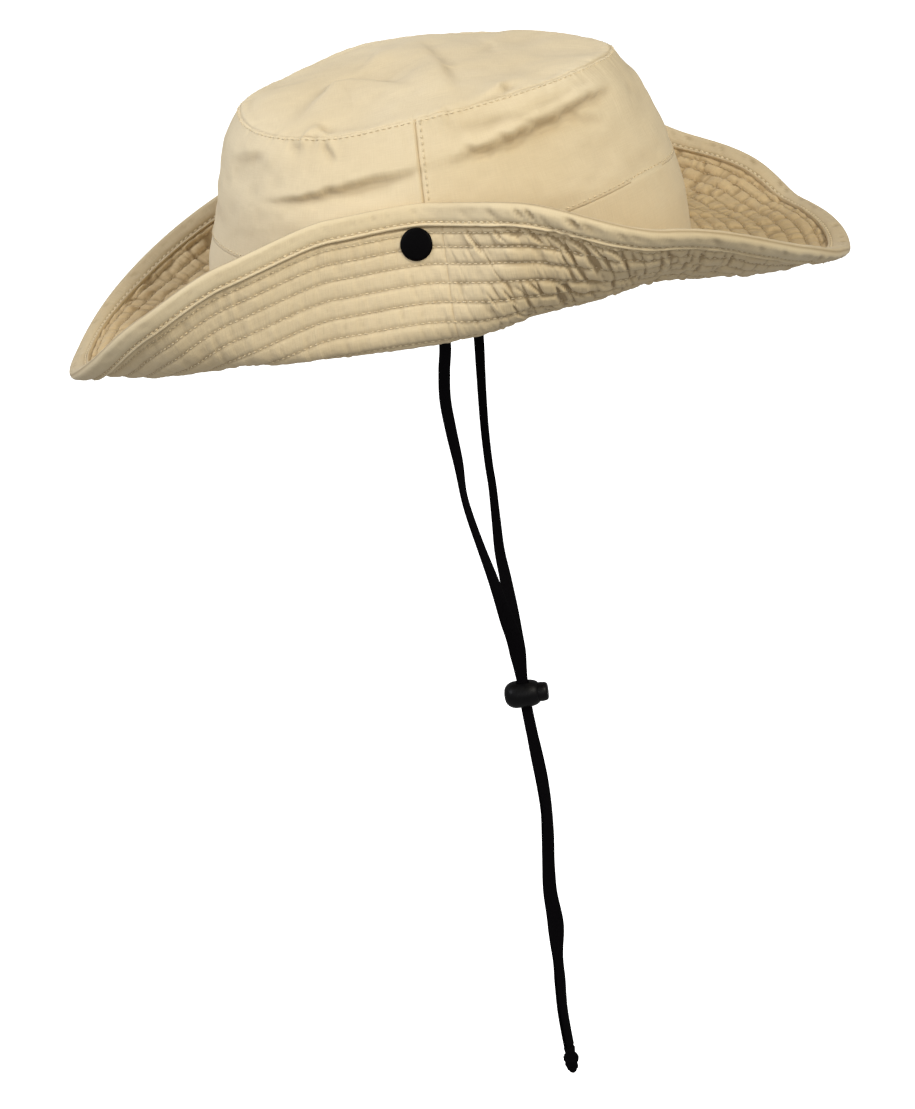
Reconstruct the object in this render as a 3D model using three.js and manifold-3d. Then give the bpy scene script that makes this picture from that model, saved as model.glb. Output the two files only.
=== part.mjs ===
// A cloth sun hat with a quilted brim turned up at both sides, and a flat chin cord with a cord lock.
// Millimetres, +Z up, the front of the hat toward -Y, the wearer's left side toward +X.
// The origin is the centre of the head opening, in the plane where the crown meets the brim.

import * as THREE from "three";
import Module from "manifold-3d";
import { ParametricGeometry } from "three/addons/geometries/ParametricGeometry.js";
import { mergeVertices } from "three/addons/utils/BufferGeometryUtils.js";

// Crown sizes: the opening is that of a head of 58 to 59 cm
const CROWN_LENGTH = 208;
const CROWN_WIDTH = 176;
const CROWN_HEIGHT = 84;
const CROWN_CLOTH = 1.4;
const TOP_LENGTH = 161;
const TOP_WIDTH = 130;
const TOP_RISE = 4.5;
const BAND_HEIGHT = 28;
const SIDE_SEAM_SETBACK = 2;

// Brim sizes
const BRIM_WIDTH = 68;
const BRIM_CLOTH = 2;
const BINDING_WIDTH = 9.4;
const BINDING_CLOTH = 1;
const BRIM_SEAM_SETBACK = 9;

// Snap sizes
const SNAP_DIAMETER = 13.4;
const SNAP_THICKNESS = 1.8;
const SNAP_UNDERCUT = 0.7;
const SNAP_BEVEL = 1.1;
const SNAP_DOME = 0.2;
const STUD_DIAMETER = 9;
const SNAP_FROM_RIM = 17.5;
const SNAP_ANGLE = 88.5;

// Gap from the crown to the brim's upper face at the sides, where the snaps hold them together
const SNAP_GAP = 4;

// Chin cord sizes: a flat braid, two of them side by side through the lock
const CORD_WIDTH = 5;
const CORD_THICKNESS = 1.4;
const CORD_CORNER = 0.56;
const KNOT_DIAMETER = 6.4;
const KNOT_LENGTH = 10;

// Cord lock sizes: a barrel that lies along Y with a sprung button at its back end
const LOCK_DIAMETER = 12.4;
const LOCK_LENGTH = 15.5;
const LOCK_FILLET = 4.6;
const LOCK_END_WALL = 2.4;
const LOCK_HEIGHT = -203.5;
const BUTTON_DIAMETER = 8.8;
const BUTTON_REACH = 4.3;
const BUTTON_CHAMFER = 1;
const BUTTON_TRAVEL = 2;
const PLUNGER_END_WALL = 1.5;

// Gap between pieces that touch
const CLEARANCE = 0.3;

// Gap from a stiff piece to cloth, whose facets stand up to 0.3 mm off its true curve
const CLOTH_CLEARANCE = 0.6;

// Steps of the faceted surfaces
const TURN_STEPS = 60;
const BRIM_STEPS = 10;
const BEND_STEPS = 40;
const BAND_STEPS = 2;
const WALL_STEPS = 6;
const TOP_STEPS = 5;
const CORD_STEPS = 38;
const ROUND_STEPS = 24;
const KNOT_STEPS = 12;
const FILLET_STEPS = 4;

// Turns of the binding's half-round bend over the rim, in degrees
const BINDING_TURNS = [0, 60, 120, 180];

// Points closer than this are one point
const WELD = 1e-4;

// Shape of the crown: how far each side has drawn in, from the base (0) to the top seam (1)
const CROWN_PROFILE = [
  { height: 0.0, front: 0.0, back: 0.0, side: 0.0 },
  { height: 0.24, front: 0.08, back: 0.0, side: 0.04 },
  { height: 0.36, front: 0.2, back: 0.04, side: 0.09 },
  { height: 0.55, front: 0.4, back: 0.17, side: 0.17 },
  { height: 0.71, front: 0.52, back: 0.35, side: 0.39 },
  { height: 0.86, front: 0.67, back: 0.57, side: 0.7 },
  { height: 1.0, front: 1.0, back: 1.0, side: 1.0 },
];

// Sag of the top seam around the crown, as shares of the crown's height
// Angles run from the front (0) over the left side (90) and the back (180) to the right side (270)
const TOP_SEAM = [
  { angle: 0, sag: 0.0 },
  { angle: 40, sag: -0.06 },
  { angle: 60, sag: -0.06 },
  { angle: 90, sag: -0.01 },
  { angle: 120, sag: 0.024 },
  { angle: 150, sag: 0.036 },
  { angle: 180, sag: 0.012 },
  { angle: 270, sag: 0.0 },
];

// Sections of the brim: slope at the crown and at the rim in degrees, and the shares of the
// brim's width between which it bends from the one to the other
// A snapped section has the slope at the rim that brings it to the snap's gap from the crown
const SNAPPED = "snapped";
const BRIM_SECTIONS = [
  { angle: 0, start: -18, end: -18, from: 0.0, to: 1.0 },
  { angle: 25, start: -31, end: 38, from: 0.15, to: 1.0 },
  { angle: 37, start: -30, end: 74, from: 0.1, to: 0.82 },
  { angle: 50, start: -26, end: 96, from: 0.05, to: 0.62 },
  { angle: 70, start: -18, end: 105, from: 0.0, to: 0.38 },
  { angle: 90, start: -14, end: SNAPPED, from: 0.0, to: 0.33 },
  { angle: 110, start: 2, end: 90, from: 0.0, to: 0.62 },
  { angle: 130, start: 11, end: 60, from: 0.05, to: 0.92 },
  { angle: 155, start: 0, end: 22, from: 0.1, to: 1.0 },
  { angle: 180, start: -8, end: -15, from: 0.0, to: 1.0 },
  { angle: 205, start: -8, end: -10, from: 0.15, to: 1.0 },
  { angle: 230, start: -6, end: 30, from: 0.1, to: 1.0 },
  { angle: 250, start: -4, end: 67, from: 0.0, to: 0.75 },
  { angle: 270, start: -14, end: SNAPPED, from: 0.0, to: 0.33 },
  { angle: 290, start: -10, end: 100, from: 0.04, to: 0.5 },
  { angle: 310, start: -16, end: 72, from: 0.12, to: 0.88 },
  { angle: 335, start: -24, end: 22, from: 0.2, to: 1.0 },
];

// Knot at the cords' end: how far down each ring lies, and its radius, as shares of the knot's sizes
const KNOT_PROFILE = [
  { down: 1.0, radius: 0.0 },
  { down: 0.92, radius: 0.55 },
  { down: 0.62, radius: 1.0 },
  { down: 0.3, radius: 1.0 },
  { down: 0.0, radius: 0.8 },
  { down: 0.0, radius: 0.0 },
];

// Routes of the two cords, from inside the crown down to the lock and on to the knot: x, y, z
const LEFT_CORD_ROUTE = [
  [85.2, 1, 14],
  [84.8, 1, 5],
  [80, 0.8, -8],
  [72, -2.2, -22],
  [64, -4.7, -37],
  [54, -5.6, -55],
  [45, -5.8, -74],
  [36, -6.8, -92],
  [30, -6.4, -104],
  [22, -4.6, -123],
  [16, -2.9, -138],
  [11, -1.8, -150],
  [6.5, -0.6, -163],
  [3.2, 1.0, -175],
  [1.4, 1.4, -185],
  [0.86, 1.3, -194],
  [0.86, 1.3, -203.5],
  [0.86, 1.4, -213],
];
const RIGHT_CORD_ROUTE = [
  [-85.2, 1, 14],
  [-84.8, 1, 5],
  [-80, 1, -8],
  [-71, 1.2, -27],
  [-57, 1.4, -49.5],
  [-50, 0.4, -65],
  [-44.5, -0.4, -77],
  [-38, -1, -90.5],
  [-31.5, -1, -104.5],
  [-27.5, -0.6, -112.5],
  [-21, -0.7, -126],
  [-15, -0.8, -139.5],
  [-10, 0.3, -151],
  [-6, 1, -163],
  [-3, 1.2, -175],
  [-1.4, 1.4, -185],
  [-0.86, 1.3, -194],
  [-0.86, 1.3, -203.5],
  [-0.86, 1.4, -213],
];
const TAIL_ROUTE = [
  { y: 2.2, z: -232 },
  { y: 2.8, z: -248 },
  { y: 2.6, z: -262 },
  { y: 1.4, z: -275 },
  { y: -0.6, z: -291 },
  { y: -1.8, z: -304 },
  { y: -1.7, z: -320 },
  { y: -3.0, z: -335 },
  { y: -4.0, z: -350 },
  { y: -5.1, z: -366 },
  { y: -5.1, z: -378 },
  { y: -4.9, z: -386 },
];

// Cloth is khaki, the rest is black
const crownCloth = new THREE.MeshStandardMaterial({ color: 0xd9c49a, roughness: 0.9, metalness: 0 });
const brimCloth = new THREE.MeshStandardMaterial({ color: 0xcdb58a, roughness: 0.9, metalness: 0 });
const bindingCloth = new THREE.MeshStandardMaterial({ color: 0xcab38a, roughness: 0.9, metalness: 0 });
const snapMetal = new THREE.MeshStandardMaterial({ color: 0x0d0c0d, roughness: 0.45, metalness: 0.3 });
const cordBraid = new THREE.MeshStandardMaterial({ color: 0x1c1a1c, roughness: 0.9, metalness: 0 });
const lockPlastic = new THREE.MeshStandardMaterial({ color: 0x161416, roughness: 0.5, metalness: 0 });

const DEGREE = Math.PI / 180;
const wasm = await Module();
wasm.setup();

// Smooth value between the rows of a table, without overshoot
function smoothValue(knots, values, at) {
  const last = knots.length - 1;
  let row = 0;
  while (row < last - 1 && at > knots[row + 1]) {
    row += 1;
  }
  const rate = (k) => (values[k + 1] - values[k]) / (knots[k + 1] - knots[k]);
  const tangent = (k) => {
    if (k <= 0) return rate(0);
    if (k >= last) return rate(last - 1);
    if (rate(k - 1) * rate(k) <= 0) return 0;
    const before = knots[k] - knots[k - 1];
    const after = knots[k + 1] - knots[k];
    return (3 * (before + after)) / ((2 * after + before) / rate(k - 1) + (after + 2 * before) / rate(k));
  };
  const span = knots[row + 1] - knots[row];
  const u = (at - knots[row]) / span;
  const rise = u * u * (3 - 2 * u);
  const leave = u * (1 - u) * (1 - u) * span * tangent(row);
  const arrive = u * u * (u - 1) * span * tangent(row + 1);
  return values[row] + (values[row + 1] - values[row]) * rise + leave + arrive;
}

// The same for a table that runs once around the hat by angle
function aroundValue(table, column, angle) {
  const turns = [-1, 0, 1];
  const knots = turns.flatMap((turn) => table.map((row) => row.angle + 360 * turn));
  const values = turns.flatMap(() => table.map((row) => row[column]));
  return smoothValue(knots, values, ((angle % 360) + 360) % 360);
}

function profileValue(column, share) {
  const heights = CROWN_PROFILE.map((row) => row.height);
  const drawn = CROWN_PROFILE.map((row) => row[column]);
  return smoothValue(heights, drawn, share);
}

// Point of the crown's wall: share 0 at the base and 1 at the top seam, inset into the cloth
function crownPoint(angle, share, inset) {
  const sine = Math.sin(angle * DEGREE);
  const cosine = Math.cos(angle * DEGREE);
  const end = cosine > 0 ? "front" : "back";
  const drawnLength = ((CROWN_LENGTH - TOP_LENGTH) / 2) * profileValue(end, share);
  const drawnWidth = ((CROWN_WIDTH - TOP_WIDTH) / 2) * profileValue("side", share);
  const halfLength = CROWN_LENGTH / 2 - drawnLength - inset;
  const halfWidth = CROWN_WIDTH / 2 - drawnWidth - inset;
  const seam = aroundValue(TOP_SEAM, "sag", angle) * share * share;
  return new THREE.Vector3(halfWidth * sine, -halfLength * cosine, CROWN_HEIGHT * (share + seam));
}

// Run of one section of the brim: how far out and how far up it comes from the crown's face
// share is 0 at the crown's inner face and 1 at the rim, and offset goes to the brim's upper side
function brimRun({ start, end, from, to }, share, offset) {
  const slopeAt = (at) => (start + (end - start) * THREE.MathUtils.smoothstep(at, from, to)) * DEGREE;
  let reach = -CROWN_CLOTH;
  let rise = 0;
  for (let step = 0; step < BEND_STEPS; step += 1) {
    const slope = slopeAt(((step + 0.5) / BEND_STEPS) * share);
    reach += (Math.cos(slope) * brimTotal * share) / BEND_STEPS;
    rise += (Math.sin(slope) * brimTotal * share) / BEND_STEPS;
  }
  const slope = slopeAt(share);
  return { reach: reach - Math.sin(slope) * offset, rise: rise + Math.cos(slope) * offset };
}

// Slope at the rim that brings a turned-up side to the snap's gap from the crown
function snappedSlope(section) {
  let low = 90;
  let high = 150;
  for (let step = 0; step < BEND_STEPS; step += 1) {
    const end = (low + high) / 2;
    const { reach, rise } = brimRun({ ...section, end }, snapShare, BRIM_CLOTH / 2);
    const gap = CROWN_WIDTH / 2 + reach - crownPoint(90, rise / CROWN_HEIGHT, 0).x;
    if (gap > SNAP_GAP) {
      low = end;
    } else {
      high = end;
    }
  }
  return low;
}

const brimTotal = BRIM_WIDTH + CROWN_CLOTH;
const snapShare = 1 - SNAP_FROM_RIM / brimTotal;
const brimSections = BRIM_SECTIONS.map((section) => {
  return section.end === SNAPPED ? { ...section, end: snappedSlope(section) } : section;
});

// Point of the brim at an angle around the hat
function brimPoint(angle, share, offset) {
  const column = (name) => aroundValue(brimSections, name, angle);
  const section = { start: column("start"), end: column("end"), from: column("from"), to: column("to") };
  const { reach, rise } = brimRun(section, share, offset);
  const base = crownPoint(angle, 0, 0);
  const outward = new THREE.Vector3(base.x / CROWN_WIDTH ** 2, base.y / CROWN_LENGTH ** 2, 0).normalize();
  return new THREE.Vector3(base.x + outward.x * reach, base.y + outward.y * reach, rise);
}

// A closed body: seams of the surface are joined and faces without area are dropped
function closedBody(geometry) {
  geometry.deleteAttribute("normal");
  geometry.deleteAttribute("uv");
  const merged = mergeVertices(geometry, WELD);
  const corners = merged.getIndex().array;
  const kept = [];
  for (let face = 0; face < corners.length; face += 3) {
    const [a, b, c] = corners.slice(face, face + 3);
    if (a !== b && b !== c && c !== a) kept.push(a, b, c);
  }
  merged.setIndex(kept);
  return merged;
}

// Turns a list of section points, one list for each angle, into a ring with a closed section
// On the rows that run outward the faces' diagonals are turned, so that two layers of cloth that
// lie on each other have their diagonals the same way
function ringBody(sectionAt, turnSteps, runsOutward = () => false) {
  const sections = [];
  for (let turn = 0; turn < turnSteps; turn += 1) sections.push(sectionAt((360 * turn) / turnSteps));
  const rows = sections[0].length;
  const surface = (u, v, target) => {
    const section = sections[Math.round(u * turnSteps) % turnSteps];
    target.copy(section[Math.round(v * rows) % rows]);
  };
  const geometry = new ParametricGeometry(surface, turnSteps, rows);
  const corners = geometry.getIndex().array;
  for (let face = 0; face < corners.length; face += 6) {
    if (!runsOutward(Math.floor(face / 6 / turnSteps))) continue;
    const [a, b, d, , c] = corners.slice(face, face + 6);
    corners.set([a, b, c, a, c, d], face);
  }
  return closedBody(geometry);
}

function asSolid(geometry) {
  const body = closedBody(geometry);
  const vertProperties = new Float32Array(body.getAttribute("position").array);
  const triVerts = new Uint32Array(body.getIndex().array);
  return new wasm.Manifold(new wasm.Mesh({ numProp: 3, vertProperties, triVerts }));
}

function asGeometry(solid) {
  const mesh = solid.getMesh();
  const geometry = new THREE.BufferGeometry();
  geometry.setAttribute("position", new THREE.BufferAttribute(new Float32Array(mesh.vertProperties), 3));
  geometry.setIndex(new THREE.BufferAttribute(new Uint32Array(mesh.triVerts), 1));
  return geometry;
}

function boxSolid(low, high) {
  const size = [0, 1, 2].map((axis) => high[axis] - low[axis]);
  const middle = [0, 1, 2].map((axis) => (high[axis] + low[axis]) / 2);
  return asSolid(new THREE.BoxGeometry(...size).translate(...middle));
}

// Values 0 to 1 in equal steps
function shares(steps) {
  return Array.from({ length: steps + 1 }, (_, step) => step / steps);
}

// Crown
const bandBottom = BRIM_CLOTH / 2 + CLOTH_CLEARANCE;
const wallBottom = bandBottom + BAND_HEIGHT + CLEARANCE;
const wallTop = CROWN_HEIGHT - CROWN_CLOTH - CLEARANCE;

function wallSection(low, high, steps) {
  return (angle) => {
    const heights = shares(steps).map((share) => (low + (high - low) * share) / CROWN_HEIGHT);
    const outer = heights.map((height) => crownPoint(angle, height, 0));
    const inner = heights.map((height) => crownPoint(angle, height, CROWN_CLOTH));
    return [...outer, ...inner.reverse()];
  };
}

function crownBand() {
  return ringBody(wallSection(bandBottom, wallBottom - CLEARANCE, BAND_STEPS), TURN_STEPS);
}

// The front and the back half of a ring, cut at its side seams
function ringHalves(ring, setback) {
  const reach = CROWN_LENGTH + 2 * BRIM_WIDTH;
  const frontEnd = setback - CLEARANCE / 2;
  const backStart = setback + CLEARANCE / 2;
  const whole = asSolid(ring);
  return {
    front: asGeometry(whole.intersect(boxSolid([-reach, -reach, -reach], [reach, frontEnd, reach]))),
    back: asGeometry(whole.intersect(boxSolid([-reach, backStart, -reach], [reach, reach, reach]))),
  };
}

function crownWalls() {
  const ring = ringBody(wallSection(wallBottom, wallTop, WALL_STEPS), TURN_STEPS);
  return ringHalves(ring, SIDE_SEAM_SETBACK);
}

// The top panel is a shallow dome from the top seam inward
function crownTop() {
  const domeAt = (angle, share, drop) => {
    const edge = crownPoint(angle, 1, 0);
    const height = edge.z * share ** 2 + CROWN_HEIGHT * (1 - share ** 2);
    const rise = TOP_RISE * (1 - share ** 3);
    return new THREE.Vector3(edge.x * share, edge.y * share, height + rise - drop);
  };
  const section = (angle) => {
    const outer = shares(TOP_STEPS).map((share) => domeAt(angle, share, 0));
    const inner = shares(TOP_STEPS).map((share) => domeAt(angle, share, CROWN_CLOTH));
    return [...inner, ...outer.reverse()];
  };
  const sections = Array.from({ length: TURN_STEPS }, (_, turn) => section((360 * turn) / TURN_STEPS));
  const rows = sections[0].length - 1;
  const surface = (u, v, target) => {
    target.copy(sections[Math.round(u * TURN_STEPS) % TURN_STEPS][Math.round(v * rows)]);
  };
  return closedBody(new ParametricGeometry(surface, TURN_STEPS, rows));
}

// Brim: its cloth ends where the binding's bend starts
const bindingInside = BRIM_CLOTH / 2 + CLEARANCE;
const bindingOutside = bindingInside + BINDING_CLOTH;
const clothEnd = 1 - bindingOutside / brimTotal;
const bindingStart = 1 - BINDING_WIDTH / brimTotal;

function brimHalves() {
  const places = [...shares(BRIM_STEPS).map((share) => share * bindingStart), clothEnd];
  const section = (angle) => {
    const lower = places.map((share) => brimPoint(angle, share, -BRIM_CLOTH / 2));
    const upper = places.map((share) => brimPoint(angle, share, BRIM_CLOTH / 2));
    return [...lower, ...upper.reverse()];
  };
  const ring = ringBody(section, TURN_STEPS, (row) => row < places.length);
  return ringHalves(ring, BRIM_SEAM_SETBACK);
}

// Binding: a strip folded around the rim, flat on both sides and half round over the edge
function bindingLine(angle, distance) {
  const flat = (share, side) => brimPoint(angle, share, side * distance);
  const middle = brimPoint(angle, clothEnd, 0);
  const up = brimPoint(angle, clothEnd, distance).sub(middle);
  const along = brimPoint(angle, 1, 0).sub(middle).setLength(distance);
  const bend = (turn) => {
    const across = up.clone().multiplyScalar(Math.cos(turn * DEGREE));
    return middle.clone().add(across).add(along.clone().multiplyScalar(Math.sin(turn * DEGREE)));
  };
  return [flat(bindingStart, 1), ...BINDING_TURNS.map(bend), flat(bindingStart, -1)];
}

function brimBinding() {
  const section = (angle) => {
    const inside = bindingLine(angle, bindingInside);
    const outside = bindingLine(angle, bindingOutside);
    return [...inside, ...outside.reverse()];
  };
  const rows = bindingLine(0, bindingInside).length;
  return ringBody(section, TURN_STEPS, (row) => row % rows < rows / 2);
}

// Snaps: the cap lies on the brim's outward face, the stud between the brim and the crown
// Turns a distance around the hat at its side into an angle
function sideAngle(distance) {
  return distance / (CROWN_LENGTH / 2) / DEGREE;
}

// Where a snap sits, and the direction that points out of the cloth there
function snapFrame(angle) {
  const spot = brimPoint(angle, snapShare, 0);
  const step = sideAngle(STUD_DIAMETER / 2);
  const around = brimPoint(angle + step, snapShare, 0).sub(brimPoint(angle - step, snapShare, 0));
  const half = STUD_DIAMETER / 2 / brimTotal;
  const along = brimPoint(angle, snapShare + half, 0).sub(brimPoint(angle, snapShare - half, 0));
  return { angle, spot, outside: around.cross(along).normalize() };
}

// Lowest and highest point of a cloth face under a disc, along the snap's direction
function faceSpan(frame, radius, pointAt) {
  const places = [-1, -0.5, 0, 0.5, 1];
  const points = places.flatMap((around) => places.map((along) => pointAt(around * radius, along * radius)));
  const heights = points.map((point) => point.sub(frame.spot).dot(frame.outside));
  return { low: Math.min(...heights), high: Math.max(...heights) };
}

function discAlong(profile, frame, distance) {
  const disc = new THREE.LatheGeometry(profile, ROUND_STEPS);
  const turn = new THREE.Quaternion().setFromUnitVectors(new THREE.Vector3(0, 1, 0), frame.outside);
  const place = frame.spot.clone().addScaledVector(frame.outside, distance);
  return closedBody(disc.applyQuaternion(turn).translate(place.x, place.y, place.z));
}

function brimFace(frame, side) {
  return (around, along) =>
    brimPoint(frame.angle + sideAngle(around), snapShare + along / brimTotal, (side * BRIM_CLOTH) / 2);
}

function snapCap(angle) {
  const radius = SNAP_DIAMETER / 2;
  const frame = snapFrame(angle);
  const seat = faceSpan(frame, radius, brimFace(frame, -1)).high + CLOTH_CLEARANCE;
  const profile = [
    new THREE.Vector2(0, 0),
    new THREE.Vector2(radius - SNAP_UNDERCUT, 0),
    new THREE.Vector2(radius, SNAP_UNDERCUT),
    new THREE.Vector2(radius - SNAP_BEVEL, SNAP_THICKNESS - SNAP_DOME),
    new THREE.Vector2(0, SNAP_THICKNESS),
  ];
  return discAlong(profile, frame, seat);
}

function snapStud(angle) {
  const frame = snapFrame(angle);
  const radius = STUD_DIAMETER / 2;
  const height = frame.spot.z / CROWN_HEIGHT;
  const crownFace = (around, along) => {
    return crownPoint(angle + sideAngle(around), height + along / CROWN_HEIGHT, 0);
  };
  const seat = faceSpan(frame, radius, crownFace).high + CLOTH_CLEARANCE;
  const length = faceSpan(frame, radius, brimFace(frame, 1)).low - CLOTH_CLEARANCE - seat;
  const profile = [
    new THREE.Vector2(0, 0),
    new THREE.Vector2(radius, 0),
    new THREE.Vector2(radius, length),
    new THREE.Vector2(0, length),
  ];
  return discAlong(profile, frame, seat);
}

// Cords: one flat section swept from the crown through the lock to the knot
const knotTop = TAIL_ROUTE.at(-1);

function chinCord(route) {
  const [tailX] = route.at(-1);
  const tail = TAIL_ROUTE.map(({ y, z }) => new THREE.Vector3(tailX, y, z));
  const points = [...route.map((place) => new THREE.Vector3(...place)), ...tail];
  const path = new THREE.CatmullRomCurve3(points, false, "centripetal");
  const corner = CORD_CORNER;
  const section = new THREE.Shape([
    new THREE.Vector2(CORD_WIDTH / 2, -CORD_THICKNESS / 2 + corner),
    new THREE.Vector2(CORD_WIDTH / 2, CORD_THICKNESS / 2 - corner),
    new THREE.Vector2(CORD_WIDTH / 2 - corner, CORD_THICKNESS / 2),
    new THREE.Vector2(-CORD_WIDTH / 2 + corner, CORD_THICKNESS / 2),
    new THREE.Vector2(-CORD_WIDTH / 2, CORD_THICKNESS / 2 - corner),
    new THREE.Vector2(-CORD_WIDTH / 2, -CORD_THICKNESS / 2 + corner),
    new THREE.Vector2(-CORD_WIDTH / 2 + corner, -CORD_THICKNESS / 2),
    new THREE.Vector2(CORD_WIDTH / 2 - corner, -CORD_THICKNESS / 2),
  ]);
  const options = { steps: CORD_STEPS, extrudePath: path, bevelEnabled: false };
  return closedBody(new THREE.ExtrudeGeometry(section, options));
}

// Knot: a barrel with a flat top that the cords end on
function cordKnot() {
  const profile = KNOT_PROFILE.map(({ down, radius }) => {
    return new THREE.Vector2((radius * KNOT_DIAMETER) / 2, -down * KNOT_LENGTH);
  });
  const knot = new THREE.LatheGeometry(profile, KNOT_STEPS).rotateX(Math.PI / 2);
  return closedBody(knot.translate(0, knotTop.y, knotTop.z - CLEARANCE));
}

// Cord lock: the cords pass down through a tunnel across the barrel and a window in the plunger
const cordPass = CORD_WIDTH / 2 + CLEARANCE;
const tunnelHalf = CLEARANCE / 2 + CORD_THICKNESS + CLEARANCE;
const lockEnd = LOCK_LENGTH / 2;
const boreBottom = -lockEnd + LOCK_END_WALL;
const plungerEnd = boreBottom + BUTTON_TRAVEL + CLEARANCE;
const windowLow = plungerEnd + PLUNGER_END_WALL;
const windowHigh = windowLow + 2 * cordPass + BUTTON_TRAVEL;
const tunnelMiddle = windowLow + cordPass;
const lockMiddle = new THREE.Vector3(0, LEFT_CORD_ROUTE.at(-2)[1] - tunnelMiddle, LOCK_HEIGHT);

function toggleBody() {
  const radius = LOCK_DIAMETER / 2;
  const straight = lockEnd - LOCK_FILLET;
  const flat = radius - LOCK_FILLET;
  const outline = new THREE.Path();
  outline.moveTo(0, -lockEnd);
  outline.lineTo(flat, -lockEnd);
  outline.absarc(flat, -straight, LOCK_FILLET, -Math.PI / 2, 0, false);
  outline.lineTo(radius, straight);
  outline.absarc(flat, straight, LOCK_FILLET, 0, Math.PI / 2, false);
  outline.lineTo(0, lockEnd);
  const barrel = asSolid(new THREE.LatheGeometry(outline.getPoints(FILLET_STEPS), ROUND_STEPS));
  const boreRadius = BUTTON_DIAMETER / 2 + CLEARANCE;
  const bore = new THREE.CylinderGeometry(boreRadius, boreRadius, LOCK_LENGTH, ROUND_STEPS);
  const boreSolid = asSolid(bore.translate(0, boreBottom + LOCK_LENGTH / 2, 0));
  const low = [-tunnelHalf, tunnelMiddle - cordPass, -LOCK_DIAMETER];
  const high = [tunnelHalf, tunnelMiddle + cordPass, LOCK_DIAMETER];
  return asGeometry(barrel.subtract(boreSolid).subtract(boxSolid(low, high)));
}

function toggleButton() {
  const radius = BUTTON_DIAMETER / 2;
  const outer = lockEnd + BUTTON_REACH;
  const profile = [
    new THREE.Vector2(0, plungerEnd),
    new THREE.Vector2(radius, plungerEnd),
    new THREE.Vector2(radius, outer - BUTTON_CHAMFER),
    new THREE.Vector2(radius - BUTTON_CHAMFER, outer),
    new THREE.Vector2(0, outer),
  ];
  const plunger = asSolid(new THREE.LatheGeometry(profile, ROUND_STEPS));
  const low = [-tunnelHalf, windowLow, -LOCK_DIAMETER];
  const high = [tunnelHalf, windowHigh, LOCK_DIAMETER];
  return asGeometry(plunger.subtract(boxSolid(low, high)));
}

function named(name, geometry, material) {
  const mesh = new THREE.Mesh(geometry, material);
  mesh.name = name;
  return mesh;
}

const hat = new THREE.Group();
hat.add(named("crown_top", crownTop(), crownCloth));
hat.add(named("crown_band", crownBand(), crownCloth));
const walls = crownWalls();
const brims = brimHalves();
for (const half of ["front", "back"]) {
  hat.add(named(`crown_wall_${half}`, walls[half], crownCloth));
  hat.add(named(`brim_${half}`, brims[half], brimCloth));
}
hat.add(named("brim_binding", brimBinding(), bindingCloth));

const sides = [
  { side: "left", angle: SNAP_ANGLE, route: LEFT_CORD_ROUTE },
  { side: "right", angle: 360 - SNAP_ANGLE, route: RIGHT_CORD_ROUTE },
];
for (const { side, angle, route } of sides) {
  hat.add(named(`snap_cap_${side}`, snapCap(angle), snapMetal));
  hat.add(named(`snap_stud_${side}`, snapStud(angle), snapMetal));
  hat.add(named(`chin_cord_${side}`, chinCord(route), cordBraid));
}

const lock = new THREE.Group();
lock.position.copy(lockMiddle);
lock.add(named("toggle_body", toggleBody(), lockPlastic));
lock.add(named("toggle_button", toggleButton(), lockPlastic));
hat.add(lock);
hat.add(named("cord_knot", cordKnot(), cordBraid));

export default hat;
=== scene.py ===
# %% [markdown]
# # A cloth sun hat with a quilted brim and a chin cord
#
# The hat is a soft boonie shape: an oval top panel, a crown wall sewn in two halves, a band under
# it, and a brim quilted with eight rows of stitches. Both sides of the brim are turned up and held
# by a snap. A flat black braid hangs from inside the crown, through a cord lock, to an end knot.
#
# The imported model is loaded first. It holds the true places and sizes, and every piece below is
# laid over the solid that it stands for.

import math
import bmesh
import bpy
import numpy as np
from mathutils import Matrix, Vector


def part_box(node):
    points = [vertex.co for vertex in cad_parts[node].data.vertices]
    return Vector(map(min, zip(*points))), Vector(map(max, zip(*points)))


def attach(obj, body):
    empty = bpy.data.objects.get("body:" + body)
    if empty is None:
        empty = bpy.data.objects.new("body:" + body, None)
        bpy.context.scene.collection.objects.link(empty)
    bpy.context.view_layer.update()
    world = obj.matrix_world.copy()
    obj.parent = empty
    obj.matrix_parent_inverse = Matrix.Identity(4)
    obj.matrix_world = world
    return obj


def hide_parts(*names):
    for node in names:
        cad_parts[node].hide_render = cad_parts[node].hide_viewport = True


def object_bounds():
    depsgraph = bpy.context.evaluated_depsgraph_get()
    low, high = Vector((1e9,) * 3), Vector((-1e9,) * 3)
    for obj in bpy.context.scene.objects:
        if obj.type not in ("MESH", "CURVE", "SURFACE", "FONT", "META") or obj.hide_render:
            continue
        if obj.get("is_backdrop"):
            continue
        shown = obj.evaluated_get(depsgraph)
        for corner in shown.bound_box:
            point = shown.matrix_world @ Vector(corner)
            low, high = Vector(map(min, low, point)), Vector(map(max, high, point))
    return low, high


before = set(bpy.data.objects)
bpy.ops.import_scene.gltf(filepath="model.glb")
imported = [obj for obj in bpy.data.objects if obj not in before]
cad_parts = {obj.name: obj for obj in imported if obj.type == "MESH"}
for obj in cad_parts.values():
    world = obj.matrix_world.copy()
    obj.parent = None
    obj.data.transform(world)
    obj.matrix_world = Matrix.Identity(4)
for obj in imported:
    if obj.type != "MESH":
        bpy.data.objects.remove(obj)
cad_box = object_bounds()
MM = 0.001
print("packed model, in metres:", [[round(v, 3) for v in corner] for corner in cad_box])

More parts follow.
